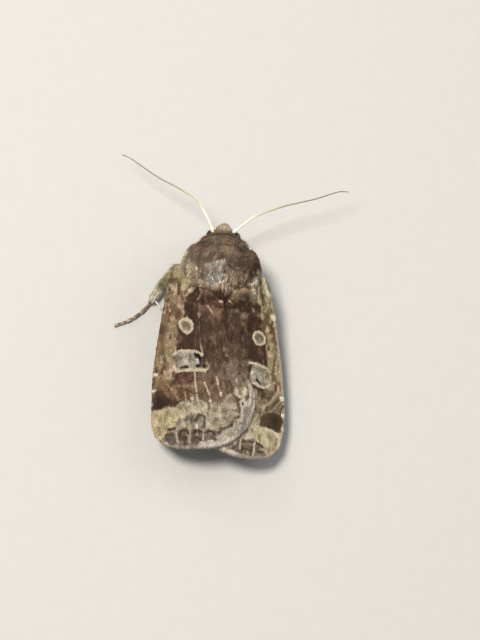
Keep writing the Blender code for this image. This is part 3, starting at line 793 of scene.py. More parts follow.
def turned_form(name, profile, sides):
    """A closed form turned about X from (along, radius) pairs, the first and last of them points."""
    verts = [(profile[0][0], 0, 0)]
    for x, r in profile[1:-1]:
        verts += [(x, r * math.cos(a), r * math.sin(a)) for a in np.arange(sides) * math.tau / sides]
    verts.append((profile[-1][0], 0, 0))
    mesh = bpy.data.meshes.new(name)
    mesh.from_pydata(verts, [], ring_faces(len(profile) - 2, sides))
    return bpy.data.objects.new(name, mesh)


joint_profile = ((-0.62, 0), (-0.56, 0.62), (-0.2, 0.9), (0.3, 1.0), (0.52, 0.82), (0.6, 0))
joint = turned_form("feeler_joint", joint_profile, 8)
feeler_finish = tinted_finish("feeler_scales", 0.55, 0.03, 0.004, sheen=0.1, spread=0.1)
for side, line in (("left", LEFT_FEELER), ("right", RIGHT_FEELER)):
    points = laid_out(even_points(line, FEELER_JOINTS))
    along = unit(np.gradient(points, axis=0))
    shares = np.linspace(0, 1, FEELER_JOINTS)
    radius = between(FEELER_RADII, shares)
    radius[:4] = (FIRST_JOINT * 0.7, FIRST_JOINT, FIRST_JOINT * 0.95, FIRST_JOINT * 0.72)
    step_along = np.linalg.norm(points[1] - points[0])
    mesh = set_out(joint, feeler_finish, points, along, (0, 0, 1),
                   np.column_stack((np.full(FEELER_JOINTS, step_along), radius, radius)), share=shares)
    share = get_values(mesh, "share")[:, 0]
    paint = Paint(len(share), 224, 217, 200)
    paint.lay(190, 180, 152, ramp(share, 0.12, 0.3))
    paint.lay(150, 146, 118, ramp(share, 0.25, 0.5))
    paint.lay(118, 106, 90, ramp(share, 0.45, 0.85))
    paint.lay(96, 78, 62, 0.55 * ramp(-normals(mesh)[:, 2], -0.1, 0.5) * ramp(share, 0.05, 0.3))
    paint.shade(0.9 + 0.14 * np.cos((share * (FEELER_JOINTS - 1) % 1) * math.tau))
    set_tint(mesh, paint.colour)
    mesh.attributes.remove(mesh.attributes["share"])
    settle(f"feeler_{side}", mesh, feeler_finish, "antenna", f"antenna_{side}")

# The mouth parts.
# Two short upturned palps, shaggy with scales and bare at the tip, flank the tongue: a brown horny
# tube, wound up like a watch spring under the face.
PALP_LINE = ((0.46, 2.8, 1.5), (0.46, 3.3, 1.42), (0.46, 3.74, 1.72), (0.45, 3.88, 2.1), (0.44, 3.92, 2.34))
PALP_RADII = (0.16, 0.2, 0.21, 0.17, 0.09, 0.05)
PALP_RINGS, TONGUE_RINGS, TUBE_SIDES = 26, 110, 12
TONGUE_MIDDLE, TONGUE_RADII, TONGUE_TURNS, TONGUE_WIRE = (0, 3.5, 1.66), (0.33, 0.09), 2.6, 0.052


def tube(name, points, radii, sides=TUBE_SIDES):
    """A closed round skin along points, with its unwrap: the share of the way along, and round."""
    points = np.asarray(points, float)
    along = unit(np.gradient(points, axis=0))
    side = unit(np.cross(along[0], (0.12, 0.05, 1.0)))
    verts, flat = [points[0]], [(0, 0.5)]
    for i, (point, forward) in enumerate(zip(points, along)):
        side = unit(side - forward * (side @ forward))
        up = np.cross(forward, side)
        for j in range(sides):
            turn = j / sides * math.tau
            verts.append(point + radii[i] * (side * math.cos(turn) + up * math.sin(turn)))
            flat.append((i / (len(points) - 1), j / sides))
    verts.append(points[-1])
    flat.append((1, 0.5))
    mesh = bpy.data.meshes.new(name)
    mesh.from_pydata([tuple(v) for v in verts], [], ring_faces(len(points), sides))
    set_unwrap(mesh, flat)
    lie = np.concatenate((along[:1], np.repeat(along, sides, axis=0), along[-1:]))
    set_values(mesh, "lie", "FLOAT_VECTOR", lie)
    return mesh


TABLE_ROOM = 0.04        # tips lower than this are bent up, so that none goes into the table


def clothe(name, bed, finish, slot, colours_of, variety, seed, **sizes):
    """Grows a coat on a skin that has its lie, thick, grow and stand, and settles it as a piece."""
    mesh = grown(bed, coat_tree, template=hair, finish=finish, seed=seed, **sizes)
    tips = places(mesh)
    tips[:, 2] = np.where(tips[:, 2] < TABLE_ROOM,
                          TABLE_ROOM * (1 - 0.8 * np.tanh(1 - tips[:, 2] / TABLE_ROOM)), tips[:, 2])
    put_places(mesh, tips)
    finish_coat(mesh, colours_of(get_values(mesh, "root"), get_values(mesh, "unwrap")[:, 0]), variety)
    settle(name, mesh, finish, slot)


def palp_colours(points, share):
    paint = Paint(len(points), 158, 141, 117)
    paint.lay(96, 76, 58, ramp(share, 0.25, 0.4) * (1 - ramp(share, 0.66, 0.72)))
    paint.lay(176, 160, 136, ramp(share, 0.86, 0.92))
    paint.shade(1 + 0.15 * patches(points[:, 1] + points[:, 0], points[:, 2], 0.12, 5))
    return paint.colour


for side, label in ((-1, "left"), (1, "right")):
    line = from_body(even_points([(side * x, y, z) for x, y, z in PALP_LINE], PALP_RINGS))
    shares = np.linspace(0, 1, PALP_RINGS)
    skin = tube(f"palp_skin_{label}", line,
                between(PALP_RADII, shares) * (1 - 0.25 * np.exp(-((shares - 0.7) / 0.03)**2)))
    share_at = np.concatenate(([0], np.repeat(shares, TUBE_SIDES), [1]))
    bed = skin.copy()
    set_lie(bed, get_values(bed, "lie"), 1 - 0.6 * ramp(share_at, 0.75, 0.9),
            1 - 0.6 * ramp(share_at, 0.6, 0.85), 1.0)
    clothe(f"palp_scales_{label}", bed, tuft_finish, "head_coat", palp_colours, 0.15, 31 + side,
           least_gap=0.03, density=500.0, length=0.3, width=0.055, thickness=0.016, lift=0.35, scatter=0.25)
    set_tint(skin, palp_colours(places(skin), share_at) * 0.8)
    settle(f"palp_skin_{label}", skin, skin_finish, "head_coat", f"palp_{label}")

turns = np.linspace(0, TONGUE_TURNS * math.tau, TONGUE_RINGS)
radius = np.linspace(*TONGUE_RADII, TONGUE_RINGS)
middle = np.array(TONGUE_MIDDLE)
coil = np.column_stack((0.05 * np.sin(turns * 0.5), middle[1] + radius * np.sin(turns),
                        middle[2] + radius * np.cos(turns)))
mesh = tube("tongue_coil", from_body(coil), TONGUE_WIRE * np.linspace(1.15, 0.6, TONGUE_RINGS), 8)
share = np.linspace(0, 1, len(mesh.vertices))
paint = Paint(len(share), 128, 84, 46)
paint.lay(92, 56, 30, 0.7 * (np.cos(share * 620) > 0.2))
set_tint(mesh, paint.colour)
tongue_finish = tinted_finish("tongue_horn", 0.35, 0.03, 0.003, specular=0.45)
settle("tongue_coil", mesh, tongue_finish, "tongue", "tongue")

# The legs.
# Six legs: a stout woolly thigh, a shin clothed in pale scales with its spurs, and a slim foot of
# five joints, dark with a cream ring at each, that ends in two claws. Horn under scales.
FOOT_HEIGHT = 0.17
THIGH_RADII, SHIN_RADII = (0.24, 0.36, 0.34, 0.2), (0.17, 0.23, 0.24, 0.17)
FOOT_RADII = (0.135, 0.1)
FOOT_JOINTS = (0.0, 0.4, 0.58, 0.73, 0.86, 1.0)  # where the foot's five joints meet
FOOT_BROWN = (140, 122, 100)
THIGH_RINGS, SHIN_RINGS, FOOT_RINGS = 12, 18, 41
LEG_RINGS = THIGH_RINGS + SHIN_RINGS + FOOT_RINGS
LEGS = {  # root, knee and ankle, then the foot's line on the table
    "fore_leg_right": (((0.95, 1.1, 1.3), (1.95, 2.3, 1.62), (2.3, 1.55, 0.42)),
                       ((2.28, 1.78), (2.05, 2.75), (1.3, 3.7))),
    "mid_leg_right": (((1.15, -0.05, 1.3), (3.2, -0.55, 1.62), (4.05, -2.9, 0.42)),
                      ((4.12, -3.2), (4.3, -5.0), (4.2, -6.9))),
    "mid_leg_left": (((-1.15, 0.1, 1.3), (-4.05, 0.0, 2.02), (-5.98, -2.48, 0.52)),
                     ((-6.18, -2.85), (-6.92, -3.64), (-7.85, -4.32), (-9.0, -4.78))),
    "hind_leg_right": (((0.95, -1.6, 1.25), (2.75, -3.1, 1.42), (3.35, -7.0, 0.42)),
                       ((3.38, -7.3), (3.35, -9.3), (3.1, -11.4))),
}
for pair in ("fore_leg", "hind_leg"):
    LEGS[f"{pair}_left"] = tuple(tuple((-p[0], *p[1:]) for p in line) for line in LEGS[f"{pair}_right"])
SPUR_PAIRS = {"fore": (), "mid": (1.0,), "hind": (0.62, 1.0)}  # how far down the shin they stand
SPUR_LENGTHS, SPUR_RADIUS = (0.62, 1.25), 0.062
CLAW_LENGTH, CLAW_RADIUS = 0.26, 0.032


def leg_colours(points, share):
    """Olive scaly thigh, a shin that whitens to its end, and a dark foot with cream rings."""
    ring = share * (LEG_RINGS - 1)
    speck = patches(points[:, 0] * 1.3 + points[:, 2], points[:, 1] + 0.6 * points[:, 2], 0.16, 21)
    clump = patches(points[:, 0] + points[:, 2], points[:, 1] - points[:, 2], 0.34, 22)
    paint = Paint(len(points), 150, 134, 98)
    shin = ramp(ring, THIGH_RINGS - 1, THIGH_RINGS)
    low = ramp(ring, THIGH_RINGS + 0.45 * SHIN_RINGS, THIGH_RINGS + 0.62 * SHIN_RINGS)
    paint.lay(166, 151, 114, shin)
    paint.lay(226, 219, 194, shin * low)
    paint.lay(104, 88, 58, np.maximum(ramp(speck, 0.15, 0.8), ramp(clump, 0.3, 0.8)) * (0.75 - 0.6 * low))
    paint.lay(222, 212, 182, shin * ramp(-speck - 0.5 * clump, 0.1, 0.7) * (0.45 + 0.45 * low))
    along = (ring - THIGH_RINGS - SHIN_RINGS) / (FOOT_RINGS - 1)
    foot = ramp(along, -0.02, 0.01)
    paint.lay(*FOOT_BROWN, foot)
    for end in FOOT_JOINTS[1:]:
        paint.lay(206, 192, 164, foot * ramp(along, end - 0.07, end - 0.04) *
                  (1 - ramp(along, end - 0.01, end)))
    paint.shade(1 + 0.12 * speck)
    return paint.colour


spur = turned_form("spur", ((-0.02, 0), (0.03, 0.75), (0.35, 1.0), (0.8, 0.6), (1.0, 0)), 8)
claw = turned_form("claw", ((-0.02, 0), (0.03, 1.0), (0.4, 0.8), (0.8, 0.3), (1.0, 0)), 6)
claw_finish = tinted_finish("claw_horn", 0.3, 0.04, 0.001, specular=0.5)
leg_finish = tinted_finish("leg_scales", 0.6, 0.05, 0.005, sheen=0.12, spread=0.06)
for seed, (name, (limb, foot)) in enumerate(sorted(LEGS.items()), 51):
    root, knee, ankle = (np.array(p) for p in limb)
    toes = [(x, y, FOOT_HEIGHT) for x, y in foot]
    foot_shares = np.linspace(0, 1, FOOT_RINGS)
    line = laid_out(np.concatenate((
        root + (knee - root) * np.linspace(0, 0.97, THIGH_RINGS)[:, None],
        knee + (ankle - knee) * np.linspace(0.03, 0.97, SHIN_RINGS)[:, None],
        even_points([ankle, *toes], FOOT_RINGS))))
    swell = np.zeros(FOOT_RINGS)
    for start, end in zip(FOOT_JOINTS, FOOT_JOINTS[1:]):
        here = (foot_shares >= start) & (foot_shares <= end)
        swell[here] = 0.8 + 0.32 * ramp((foot_shares[here] - start) / (end - start), 0.0, 0.9)
    radii = np.concatenate((between(THIGH_RADII, np.linspace(0, 1, THIGH_RINGS)),
                            between(SHIN_RADII, np.linspace(0, 1, SHIN_RINGS)),
                            between(FOOT_RADII, foot_shares) * swell))
    mesh = tube(f"{name}_skin", line, radii)
    ring_share = np.concatenate(([0], np.repeat(np.linspace(0, 1, LEG_RINGS), TUBE_SIDES), [1]))
    ring = ring_share * (LEG_RINGS - 1)
    on_foot = ramp(ring, THIGH_RINGS + SHIN_RINGS - 2, THIGH_RINGS + SHIN_RINGS)
    bed = mesh.copy()
    shaggy = 1.65 if name == "mid_leg_left" else 1.2
    grow = 1.25 + (shaggy - 1.25) * ramp(ring, THIGH_RINGS - 1, THIGH_RINGS + 2)
    set_lie(bed, get_values(bed, "lie"), 1 - 0.2 * on_foot, grow * (1 - 0.62 * on_foot), 1 - 0.55 * on_foot)
    clothe(f"{name}_scales", bed, leg_finish, "leg_coat", leg_colours, 0.14, seed,
           least_gap=0.036, density=430.0, length=0.35, width=0.056, thickness=0.015, lift=0.4, scatter=0.3)
    set_tint(mesh, leg_colours(places(mesh), ring_share) * 0.8)
    settle(f"{name}_skin", mesh, skin_finish, "leg_coat",
           *(f"{name}_{part}" for part in ("femur", "tibia", "tarsus")))
    down = unit(ankle - knee)
    aside = unit(np.cross(down, (0, 0, 1.0))) * (1 if name.endswith("right") else -1)
    starts, ways, sizes = [], [], []
    for share in SPUR_PAIRS[name.split("_")[0]]:
        for length, way in zip(SPUR_LENGTHS, (0.9 * down - 0.5 * aside, 0.32 * down + 0.95 * aside)):
            way = unit(way * (1, 1, 0.35))
            starts.append(laid_out(knee + (ankle - knee) * share * 0.93) + way * 0.08)
            ways.append(way)
            sizes.append((length, SPUR_RADIUS, SPUR_RADIUS))
    if starts:
        mesh = set_out(spur, leg_finish, starts, ways, (0, 0, 1), sizes)
        set_tint(mesh, np.zeros((len(mesh.vertices), 3)) + rgb(236, 228, 206))
        settle(f"{name}_spurs", mesh, leg_finish, "leg_coat")
    end, heading = line[-1], unit((line[-1] - line[-4]) * (1, 1, 0))
    across_foot = np.cross((0, 0, 1), heading)
    ways = [unit(heading + side * 0.42 * across_foot + np.array((0, 0, -0.1))) for side in (-1, 1)]
    mesh = set_out(claw, claw_finish, [end - way * 0.03 for way in ways], ways, (0, 0, 1),
                   (CLAW_LENGTH, CLAW_RADIUS, CLAW_RADIUS))
    set_tint(mesh, np.zeros((len(mesh.vertices), 3)) + rgb(72, 50, 34))
    settle(f"{name}_claws", mesh, claw_finish, "leg_coat")

# The forewings.
# Each is a thin tough membrane on stiff veins, clothed above in overlapping scales that carry all its
# marks, and edged with a fringe. They lie back as a low roof, the left over the right.
FRONT_EDGES = {
    -1: ((0, 0), (2.4, -0.54), (8.6, -0.82), (12.8, -0.54), (14.2, -0.3), (15, 0.1), (15.45, 0.5)),
    1: ((0, 0), (2.4, -0.54), (8.6, -0.82), (12.5, -0.66), (14, -0.24), (14.9, 0.06), (15.3, 0.4)),
}
OUTER_EDGES = {
    -1: ((15.45, 0.5), (16.05, 1.5), (16.15, 3.3), (15.5, 5.75), (14, 7.45), (12.3, 8.05)),
    1: ((15.3, 0.4), (16, 1.35), (16.05, 3.2), (15.1, 5.5), (13.6, 7.35), (12.3, 8.05)),
}
INNER_EDGE = ((0.5, 2), (2.5, 4.1), (6.4, 5.05), (9, 6.85), (10.5, 7.85), (12.3, 8.05))
ROOT_EDGE = ((0, 0), (0.2, 1), (0.5, 2))
WING_ROOT_AT = (3.85, -0.7)
SPLAY = {-1: math.radians(6.0), 1: math.radians(5.1)}
LIFT = {-1: 0.3, 1: -0.3}
SETTLES = 0.48           # how far the left wing sinks on to the right one where they cross
ROOT_TUCK = 0.42         # how far the inner edge at the root dips under the thorax coat
MEMBRANE, SCALE_ROOM, VEIN_RISE, CELL_SINK = 0.07, 0.05, 0.03, 0.08
PARTED_AT = 8.2          # how far back the scales are parted into two pieces
RIDGE_FRONT, RIDGE_LENGTH, RIDGE_HEIGHT, RIDGE_FALL, RIDGE_BEND = -3.0, 13.5, 5.05, 1.7, 1.6
EAVES, ROOF_HALF, ROOF_BEND = 1.6, 5.95, 2.2
WING_LENGTH, FRINGE = 15.6, 0.6
SCALE_OUTLINE = ((0.0, 0.0), (0.5, 0.5), (1.0, 0.3))


def edge_points(line, share):
    fine, gone = measured_curve(line)
    return np.column_stack([np.interp(share * gone[-1], gone, fine[:, k]) for k in range(2)])


def sheet_points(edges, u, v):
    """Points of the flat sheet between four edges: u from root to outer edge, v from front to inner."""
    front, outer, inner, root = edges
    u1, v1 = u[:, None], v[:, None]
    sides = (edge_points(front, u) * (1 - v1) + edge_points(inner, u) * v1
             + edge_points(root, v) * (1 - u1) + edge_points(outer, v) * u1)
    return sides - (np.array(front[0]) * (1 - u1) * (1 - v1) + np.array(front[-1]) * u1 * (1 - v1)
                    + np.array(inner[0]) * (1 - u1) * v1 + np.array(inner[-1]) * u1 * v1)


def vein_wave(t):
    """1 on the veins that run to the outer edge, and -1 half way between them."""
    return np.cos((t - 1.9) / 1.05 * math.tau)


def roof_height(x, y):
    back = np.maximum(0, (RIDGE_FRONT - y) / RIDGE_LENGTH)
    ridge = RIDGE_HEIGHT - RIDGE_FALL * back**RIDGE_BEND
    return EAVES + (ridge - EAVES) * (1 - np.minimum(1, np.abs(x) / ROOF_HALF) ** ROOF_BEND)


def forewing_at(side, flat):
    """Takes points of the wing's own plane, s back and t inwards, on to the roof."""
    s, t = flat[:, 0], flat[:, 1]
    root = from_body((side * WING_ROOT_AT[0], WING_ROOT_AT[1], 0))
    back = np.array((side * math.sin(SPLAY[side]), -math.cos(SPLAY[side]), 0))
    inward = np.array((-side * math.cos(SPLAY[side]), -math.sin(SPLAY[side]), 0))
    points = root + s[:, None] * back + t[:, None] * inward
    x, y, _ = (points - layout_middle).T
    lift = LIFT[side] - (SETTLES * ramp(x, -1.6, 0.4) if side < 0 else 0)
    veins = VEIN_RISE * vein_wave(t) * ramp(s, 8.5, 12.5) * ramp(t, 0.6, 1.4)
    cell = CELL_SINK * np.exp(-((t - 2.0) / 1.1) ** 2) * ramp(s, 2.5, 4.5) * (1 - ramp(s, 8, 11))
    tucked = ROOT_TUCK * (1 - ramp(gap_from(s, t, INNER_EDGE), 0.1, 1.2)) * (1 - ramp(s, 2.4, 4.0))
    points[:, 2] = roof_height(x, y) + lift - SCALE_ROOM + veins - cell - tucked
    return points


def sheet_mesh(name, edges, place, steps, spans):
    """A closed thin sheet over part of the wing's plane, with its lie and its plane's coordinates."""
    (u0, u1), (v0, v1) = spans
    u, v = (g.ravel() for g in np.meshgrid(np.linspace(u0, u1, steps[0]), np.linspace(v0, v1, steps[1]),
                                           indexing="ij"))
    flat = sheet_points(edges, u, v)
    top = place(flat)
    ahead_way = unit(place(flat + (0.05, 0)) - top)
    grid = np.arange(len(top)).reshape(steps)
    a, b, c, d = grid[:-1, :-1], grid[1:, :-1], grid[1:, 1:], grid[:-1, 1:]
    up = np.cross(top[b[0, 0]] - top[a[0, 0]], top[d[0, 0]] - top[a[0, 0]])[2] > 0
    quads = np.stack((a, b, c, d) if up else (a, d, c, b), -1).reshape(-1, 4)
    rim = np.concatenate((grid[:, 0], grid[-1, 1:], grid[-2::-1, -1], grid[0, -2:0:-1]))
    if not up:
        rim = rim[::-1]
    count, after = len(top), np.roll(rim, -1)
    walls = np.stack((after, rim, rim + count, after + count), -1)
    mesh = bpy.data.meshes.new(name)
    mesh.from_pydata(np.concatenate((top, top - (0, 0, MEMBRANE))).tolist(), [],
                     [*quads.tolist(), *(quads[:, ::-1] + count).tolist(), *walls.tolist()])
    for key, value in (("span", np.column_stack((flat, np.zeros(count)))), ("lie", ahead_way)):
        set_values(mesh, key, "FLOAT_VECTOR", np.concatenate((value, value)))
    set_values(mesh, "thick", "FLOAT", np.concatenate((np.ones(count), np.zeros(count))))
    return mesh, v, flat


TERMEN_LINE = curve_through((*OUTER_EDGES[-1], (10.8, 7.8), (9.8, 7.35)), 4)
BLACK = (24, 16, 11)
FIELDS = {  # broad fields of colour: colour, softness, strength, outline as (along, across)
    -1: (
        ((98, 75, 57), 0.3, 0.9, ((4.6, 3.2), (4.4, 5.4), (9, 7), (9.3, 3.9), (8, 3.3), (6, 3))),
        ((188, 170, 136), 0.12, 1, ((-1, -1), (2.5, -0.6), (2.6, 0.4), (3.1, 1.1), (2.4, 1.7), (1, 2.1),
            (-1, 2.4))),
        ((104, 84, 60), 0.2, 0.8, ((0.9, -0.8), (1.5, -0.5), (1.7, 0.4), (1.4, 0.6), (1, 0.1))),
        ((146, 126, 102), 0.2, 0.8, ((-0.5, 1.2), (1.2, 1.3), (2, 1.9), (2, 3), (-0.5, 3))),
        ((86, 60, 44), 0.18, 1, ((2.45, 1.3), (2.2, 2.1), (2.4, 3), (2.1, 3.9), (2.2, 4.8), (3.8, 5.2),
            (3.7, 3.2), (3.8, 1.3))),
        ((130, 107, 88), 0.2, 0.7, ((2.4, 2.5), (2.4, 3), (3.1, 3.1), (3.1, 2.5))),
        ((98, 70, 54), 0.18, 0.8, ((2.5, 3.1), (2.3, 4.2), (3.4, 4.4), (3.7, 3.4), (3.2, 2.8))),
        ((128, 100, 84), 0.14, 0.8, ((3.75, 2.15), (3.75, 3.05), (4.3, 3.1), (4.25, 2.3))),
        ((136, 113, 86), 0.14, 0.8, ((3.9, 3.3), (3.85, 4.3), (4.2, 4.3), (4.7, 3.75))),
        ((68, 47, 31), 0.1, 1, ((3.65, 1.1), (3.8, 2.2), (4.7, 2.35), (5.1, 2.2), (5.2, 1.1))),
        ((72, 50, 35), 0.12, 1, ((6.15, 1.1), (6.3, 2.6), (7.6, 2.9), (7.65, 0.95))),
        ((74, 52, 38), 0.2, 0.8, ((4.7, 2.2), (4.7, 3.5), (7.7, 3.7), (8.4, 3.3), (8.4, 2.9), (7.6, 2.6))),
        ((150, 132, 106), 0.2, 0.8, ((9.8, 2.9), (9.9, 5.8), (11.6, 6), (11.6, 4.9), (11, 3.2))),
        ((112, 90, 71), 0.3, 1, ((9.6, 2.6), (9.2, 4.2), (9.4, 6.8), (11.6, 6.4), (12, 4.9), (12, 2.4),
            (11, 2.3))),
        ((138, 118, 100), 0.3, 0.75, ((8.3, 5), (8, 6.2), (8.2, 7.2), (9.6, 7.3), (9.9, 6), (9.6, 5),
            (9, 4.6))),
        ((144, 126, 107), 0.25, 0.9, ((9.6, 5.9), (9.5, 7.4), (10.5, 7.5), (10.6, 6))),
        ((142, 118, 94), 0.14, 0.8, ((10.6, 1.2), (10.5, 2.9), (11, 2.8), (10.95, 1.2))),
        ((98, 75, 52), 0.2, 0.9, ((10.9, 1.3), (11.1, 2.4), (12, 2.6), (12.1, 1.5), (11.5, 1.2))),
        ((98, 68, 52), 0.16, 0.9, ((9.7, 1.15), (9.7, 2.5), (10.6, 2.5), (10.75, 1.5), (10.2, 1.15))),
        ((151, 127, 100), 0.09, 1, ((2.6, -1), (2.6, 0.3), (2.9, 1.12), (3.9, 1.1), (4.7, 1.15),
            (5.1, 0.95), (6.1, 0.8), (6.9, 0.9), (7.7, 0.85), (8, 1.1), (9.4, 1.1), (10.2, 1), (10.9, 0.6),
            (10.8, -1))),
        ((174, 150, 122), 0.2, 0.7, ((3, 0.45), (3, 1.05), (5, 1.1), (5, 0.5))),
        ((126, 100, 75), 0.2, 0.7, ((5.5, -1), (5.5, -0.3), (7.5, -0.2), (10.4, -0.25), (10.4, -1))),
        ((132, 104, 76), 0.15, 0.7, ((4.2, -1), (4.3, 0), (5.2, -0.15), (6, 0.05), (6.2, -1))),
        ((146, 127, 92), 0.2, 0.9, ((7.5, -1), (7.5, 0.6), (8.2, 0.75), (8.9, 0.2), (9, -1))),
        ((174, 149, 118), 0.1, 0.9, ((8.8, -0.4), (8.7, 0.3), (9.4, 0.9), (10.1, 0.9), (10.3, 0.2),
            (9.6, -0.25))),
        ((120, 94, 66), 0.25, 0.9, ((10.1, -1), (10.2, 0.3), (10.7, 1.2), (11.8, 1.5), (11.9, -1))),
        ((174, 162, 141), 0.1, 1, ((12.6, 1.3), (12.1, 1.9), (12.2, 2.3), (11.6, 2.7), (11.9, 3.1),
            (11.9, 3.5), (12.2, 4.1), (11.95, 4.7), (12, 5.6), (13.2, 6.2), (14.4, 5.4), (14.5, 1.6))),
        ((147, 132, 100), 0.14, 0.8, ((12.45, 4), (12.35, 5.4), (12.8, 5.6), (12.8, 4.3))),
        ((158, 143, 106), 0.14, 0.8, ((12.4, 1.6), (12.3, 2.2), (12.8, 2.4), (12.9, 1.7))),
        ((126, 110, 98), 0.14, 1, ((14.35, 1.6), (14.4, 5.3), (15.2, 5.6), (16.6, 5.6), (16.6, 0.4),
            (15, 0.5), (14.9, 1))),
        ((108, 95, 88), 0.14, 0.8, ((15.05, 0.7), (15, 1.7), (15.7, 1.8), (15.9, 0.9))),
        ((187, 171, 135), 0.06, 1, ((12.78, -0.35), (12.74, 0), (12.5, 0.75), (12.5, 1.3), (12.9, 2),
            (13.3, 2.35), (13.55, 1.65), (14.2, 1.65), (14.35, 1.2), (14.55, 0.9), (14.9, 0.75),
            (15.6, 0.5), (14.6, -0.3), (13.4, -1))),
        ((178, 162, 142), 0.24, 0.9, ((11.1, 5.5), (12.2, 5), (13.4, 5.3), (13.9, 5.6), (13.2, 6.3),
            (12.6, 6.8), (11.8, 6.7), (11.2, 6.2))),
        ((196, 182, 166), 0.14, 0.8, ((12, 5.7), (11.9, 6.3), (12.3, 6.5), (12.6, 6.2), (12.4, 5.6))),
        ((96, 80, 62), 0.12, 0.9, ((10.85, 7.15), (11.45, 7.05), (11.5, 7.3), (10.95, 7.45))),
        ((120, 106, 88), 0.14, 0.9, ((13.2, 2.3), (13.05, 3.1), (14.3, 3.1), (14.35, 2.5), (13.9, 2.3))),
        ((98, 86, 69), 0.1, 0.9, ((13.35, 3.1), (13.1, 3.4), (13.15, 3.9), (13.5, 4.02), (14.3, 4),
            (14.35, 3.6), (14.2, 3.1))),
        ((124, 112, 96), 0.14, 0.8, ((13.3, 3.45), (13.3, 3.75), (13.8, 3.75), (13.8, 3.45))),
        ((194, 181, 165), 0.12, 0.9, ((9.8, 7.3), (10.4, 7.35), (10.9, 7.5), (12.2, 7.55), (13, 7.55),
            (13, 8.6), (9.8, 8.6))),
        ((148, 136, 125), 0.14, 0.8, ((12.1, 7.1), (13.4, 7.1), (14, 7), (14.2, 7.4), (13.2, 7.75),
            (12.2, 7.55))),
        ((208, 192, 172), 0.12, 1, ((10.3, 6.5), (10.6, 6.15), (10.95, 6), (11.2, 6.4), (11.2, 7),
            (10.9, 7.35), (10.4, 7.3))),
        ((150, 145, 127), 0.18, 0.8, ((13.2, 6.8), (14.3, 6.2), (14.7, 6.5), (13.7, 7.2))),
        ((192, 180, 160), 0.09, 1, ((12.95, 6.55), (12.8, 7.15), (13.5, 7.2), (14.1, 6.7), (14.5, 6.3),
            (15.4, 5.7), (15.7, 5.2), (14.6, 5.35), (14.05, 5.7), (13.8, 6.3), (13.3, 6.4))),
    ),
    1: (
        ((158, 144, 112), 0.12, 1, ((-1, -1), (2.6, -0.9), (2.7, 0.55), (2, 1), (1, 1.3), (-1, 1.3))),
        ((124, 105, 84), 0.2, 1, ((0.5, 1.3), (2.4, 1), (2.3, 2.4), (2, 4), (0.5, 4))),
        ((74, 54, 36), 0.14, 1, ((2.6, 0.9), (2.4, 2), (2.2, 3.2), (2.8, 3.4), (3.1, 2.4), (3.4, 0.8))),
        ((66, 42, 28), 0.1, 1, ((3.7, 0.72), (3.9, 2), (5.2, 2.1), (5.3, 0.7))),
        ((70, 50, 35), 0.12, 1, ((6.2, 0.6), (6.3, 2), (7.75, 2), (7.95, 0.5))),
        ((92, 72, 55), 0.3, 0.9, ((6.2, 2.1), (6.2, 4.2), (10, 4.2), (9.8, 2.3), (8, 2.3))),
        ((132, 112, 94), 0.16, 0.7, ((7.6, 2.1), (7.6, 2.9), (8.2, 2.8), (8.1, 2.1))),
        ((128, 109, 91), 0.25, 0.85, ((8, 2.5), (7.8, 4.5), (9.9, 4.5), (9.6, 2.4))),
        ((126, 100, 86), 0.14, 0.8, ((3.3, 0.65), (3.3, 1.3), (3.75, 1.2), (3.75, 0.65))),
        ((138, 115, 98), 0.14, 0.9, ((3.5, 2), (3.5, 2.6), (4.1, 2.6), (4.1, 2.05))),
        ((132, 118, 96), 0.14, 0.8, ((3, 2.65), (3.2, 3.5), (3.6, 3.4), (3.4, 2.6))),
        ((160, 142, 110), 0.08, 1, ((2.6, -1), (2.6, 0.7), (3.4, 0.75), (5, 0.7), (5.6, 0.4), (6.5, 0.55),
            (7.8, 0.45), (8.2, 0.6), (9.7, 0.7), (10.3, 0.6), (10.6, -1))),
        ((128, 112, 76), 0.12, 0.7, ((2.8, -0.3), (2.8, 0.35), (3.3, 0.4), (3.3, -0.2))),
        ((126, 108, 84), 0.2, 1, ((10, -1), (10.1, 0.9), (10.4, 2.4), (12.4, 2.4), (12.1, 0.5), (12.2, -1))),
        ((150, 134, 116), 0.14, 0.9, ((10.2, 1.6), (10, 2.4), (11.6, 2.5), (11.7, 1.6))),
        ((74, 54, 36), 0.1, 1, ((10.05, 1), (10.12, 1.55), (10.6, 1.6), (11, 1.3), (10.7, 1))),
        ((186, 167, 142), 0.14, 0.8, ((9.6, -1), (9.7, 0.2), (10.2, 0.1), (10.3, -1))),
        ((172, 157, 129), 0.1, 1, ((12.3, 1.6), (12.2, 2.7), (13.4, 3.2), (14.4, 3.2), (14.4, 1.9),
            (13.2, 1.6))),
        ((130, 117, 100), 0.12, 1, ((14.6, 1.6), (14.4, 6), (16.8, 6), (16.8, 1), (15.5, 1.2))),
        ((188, 174, 140), 0.06, 1, ((13.3, 1.6), (13.4, 0.9), (13.65, 0.3), (13.75, -1), (15.6, -1),
            (16.4, 0.8), (15.65, 1.1), (15.45, 1.45), (15.2, 1.65), (14.9, 1.45), (14.6, 2), (14.3, 2.25),
            (13.8, 2.1), (13.4, 2.2))),
        ((192, 175, 152), 0.1, 0.9, ((13.9, 2.2), (13.9, 2.6), (14.3, 3), (14.5, 2.5), (14.4, 2.2))),
        ((156, 145, 129), 0.14, 1, ((12, 2.5), (12, 5), (15.2, 6), (14.8, 3.8), (13.6, 2.9))),
    ),
}
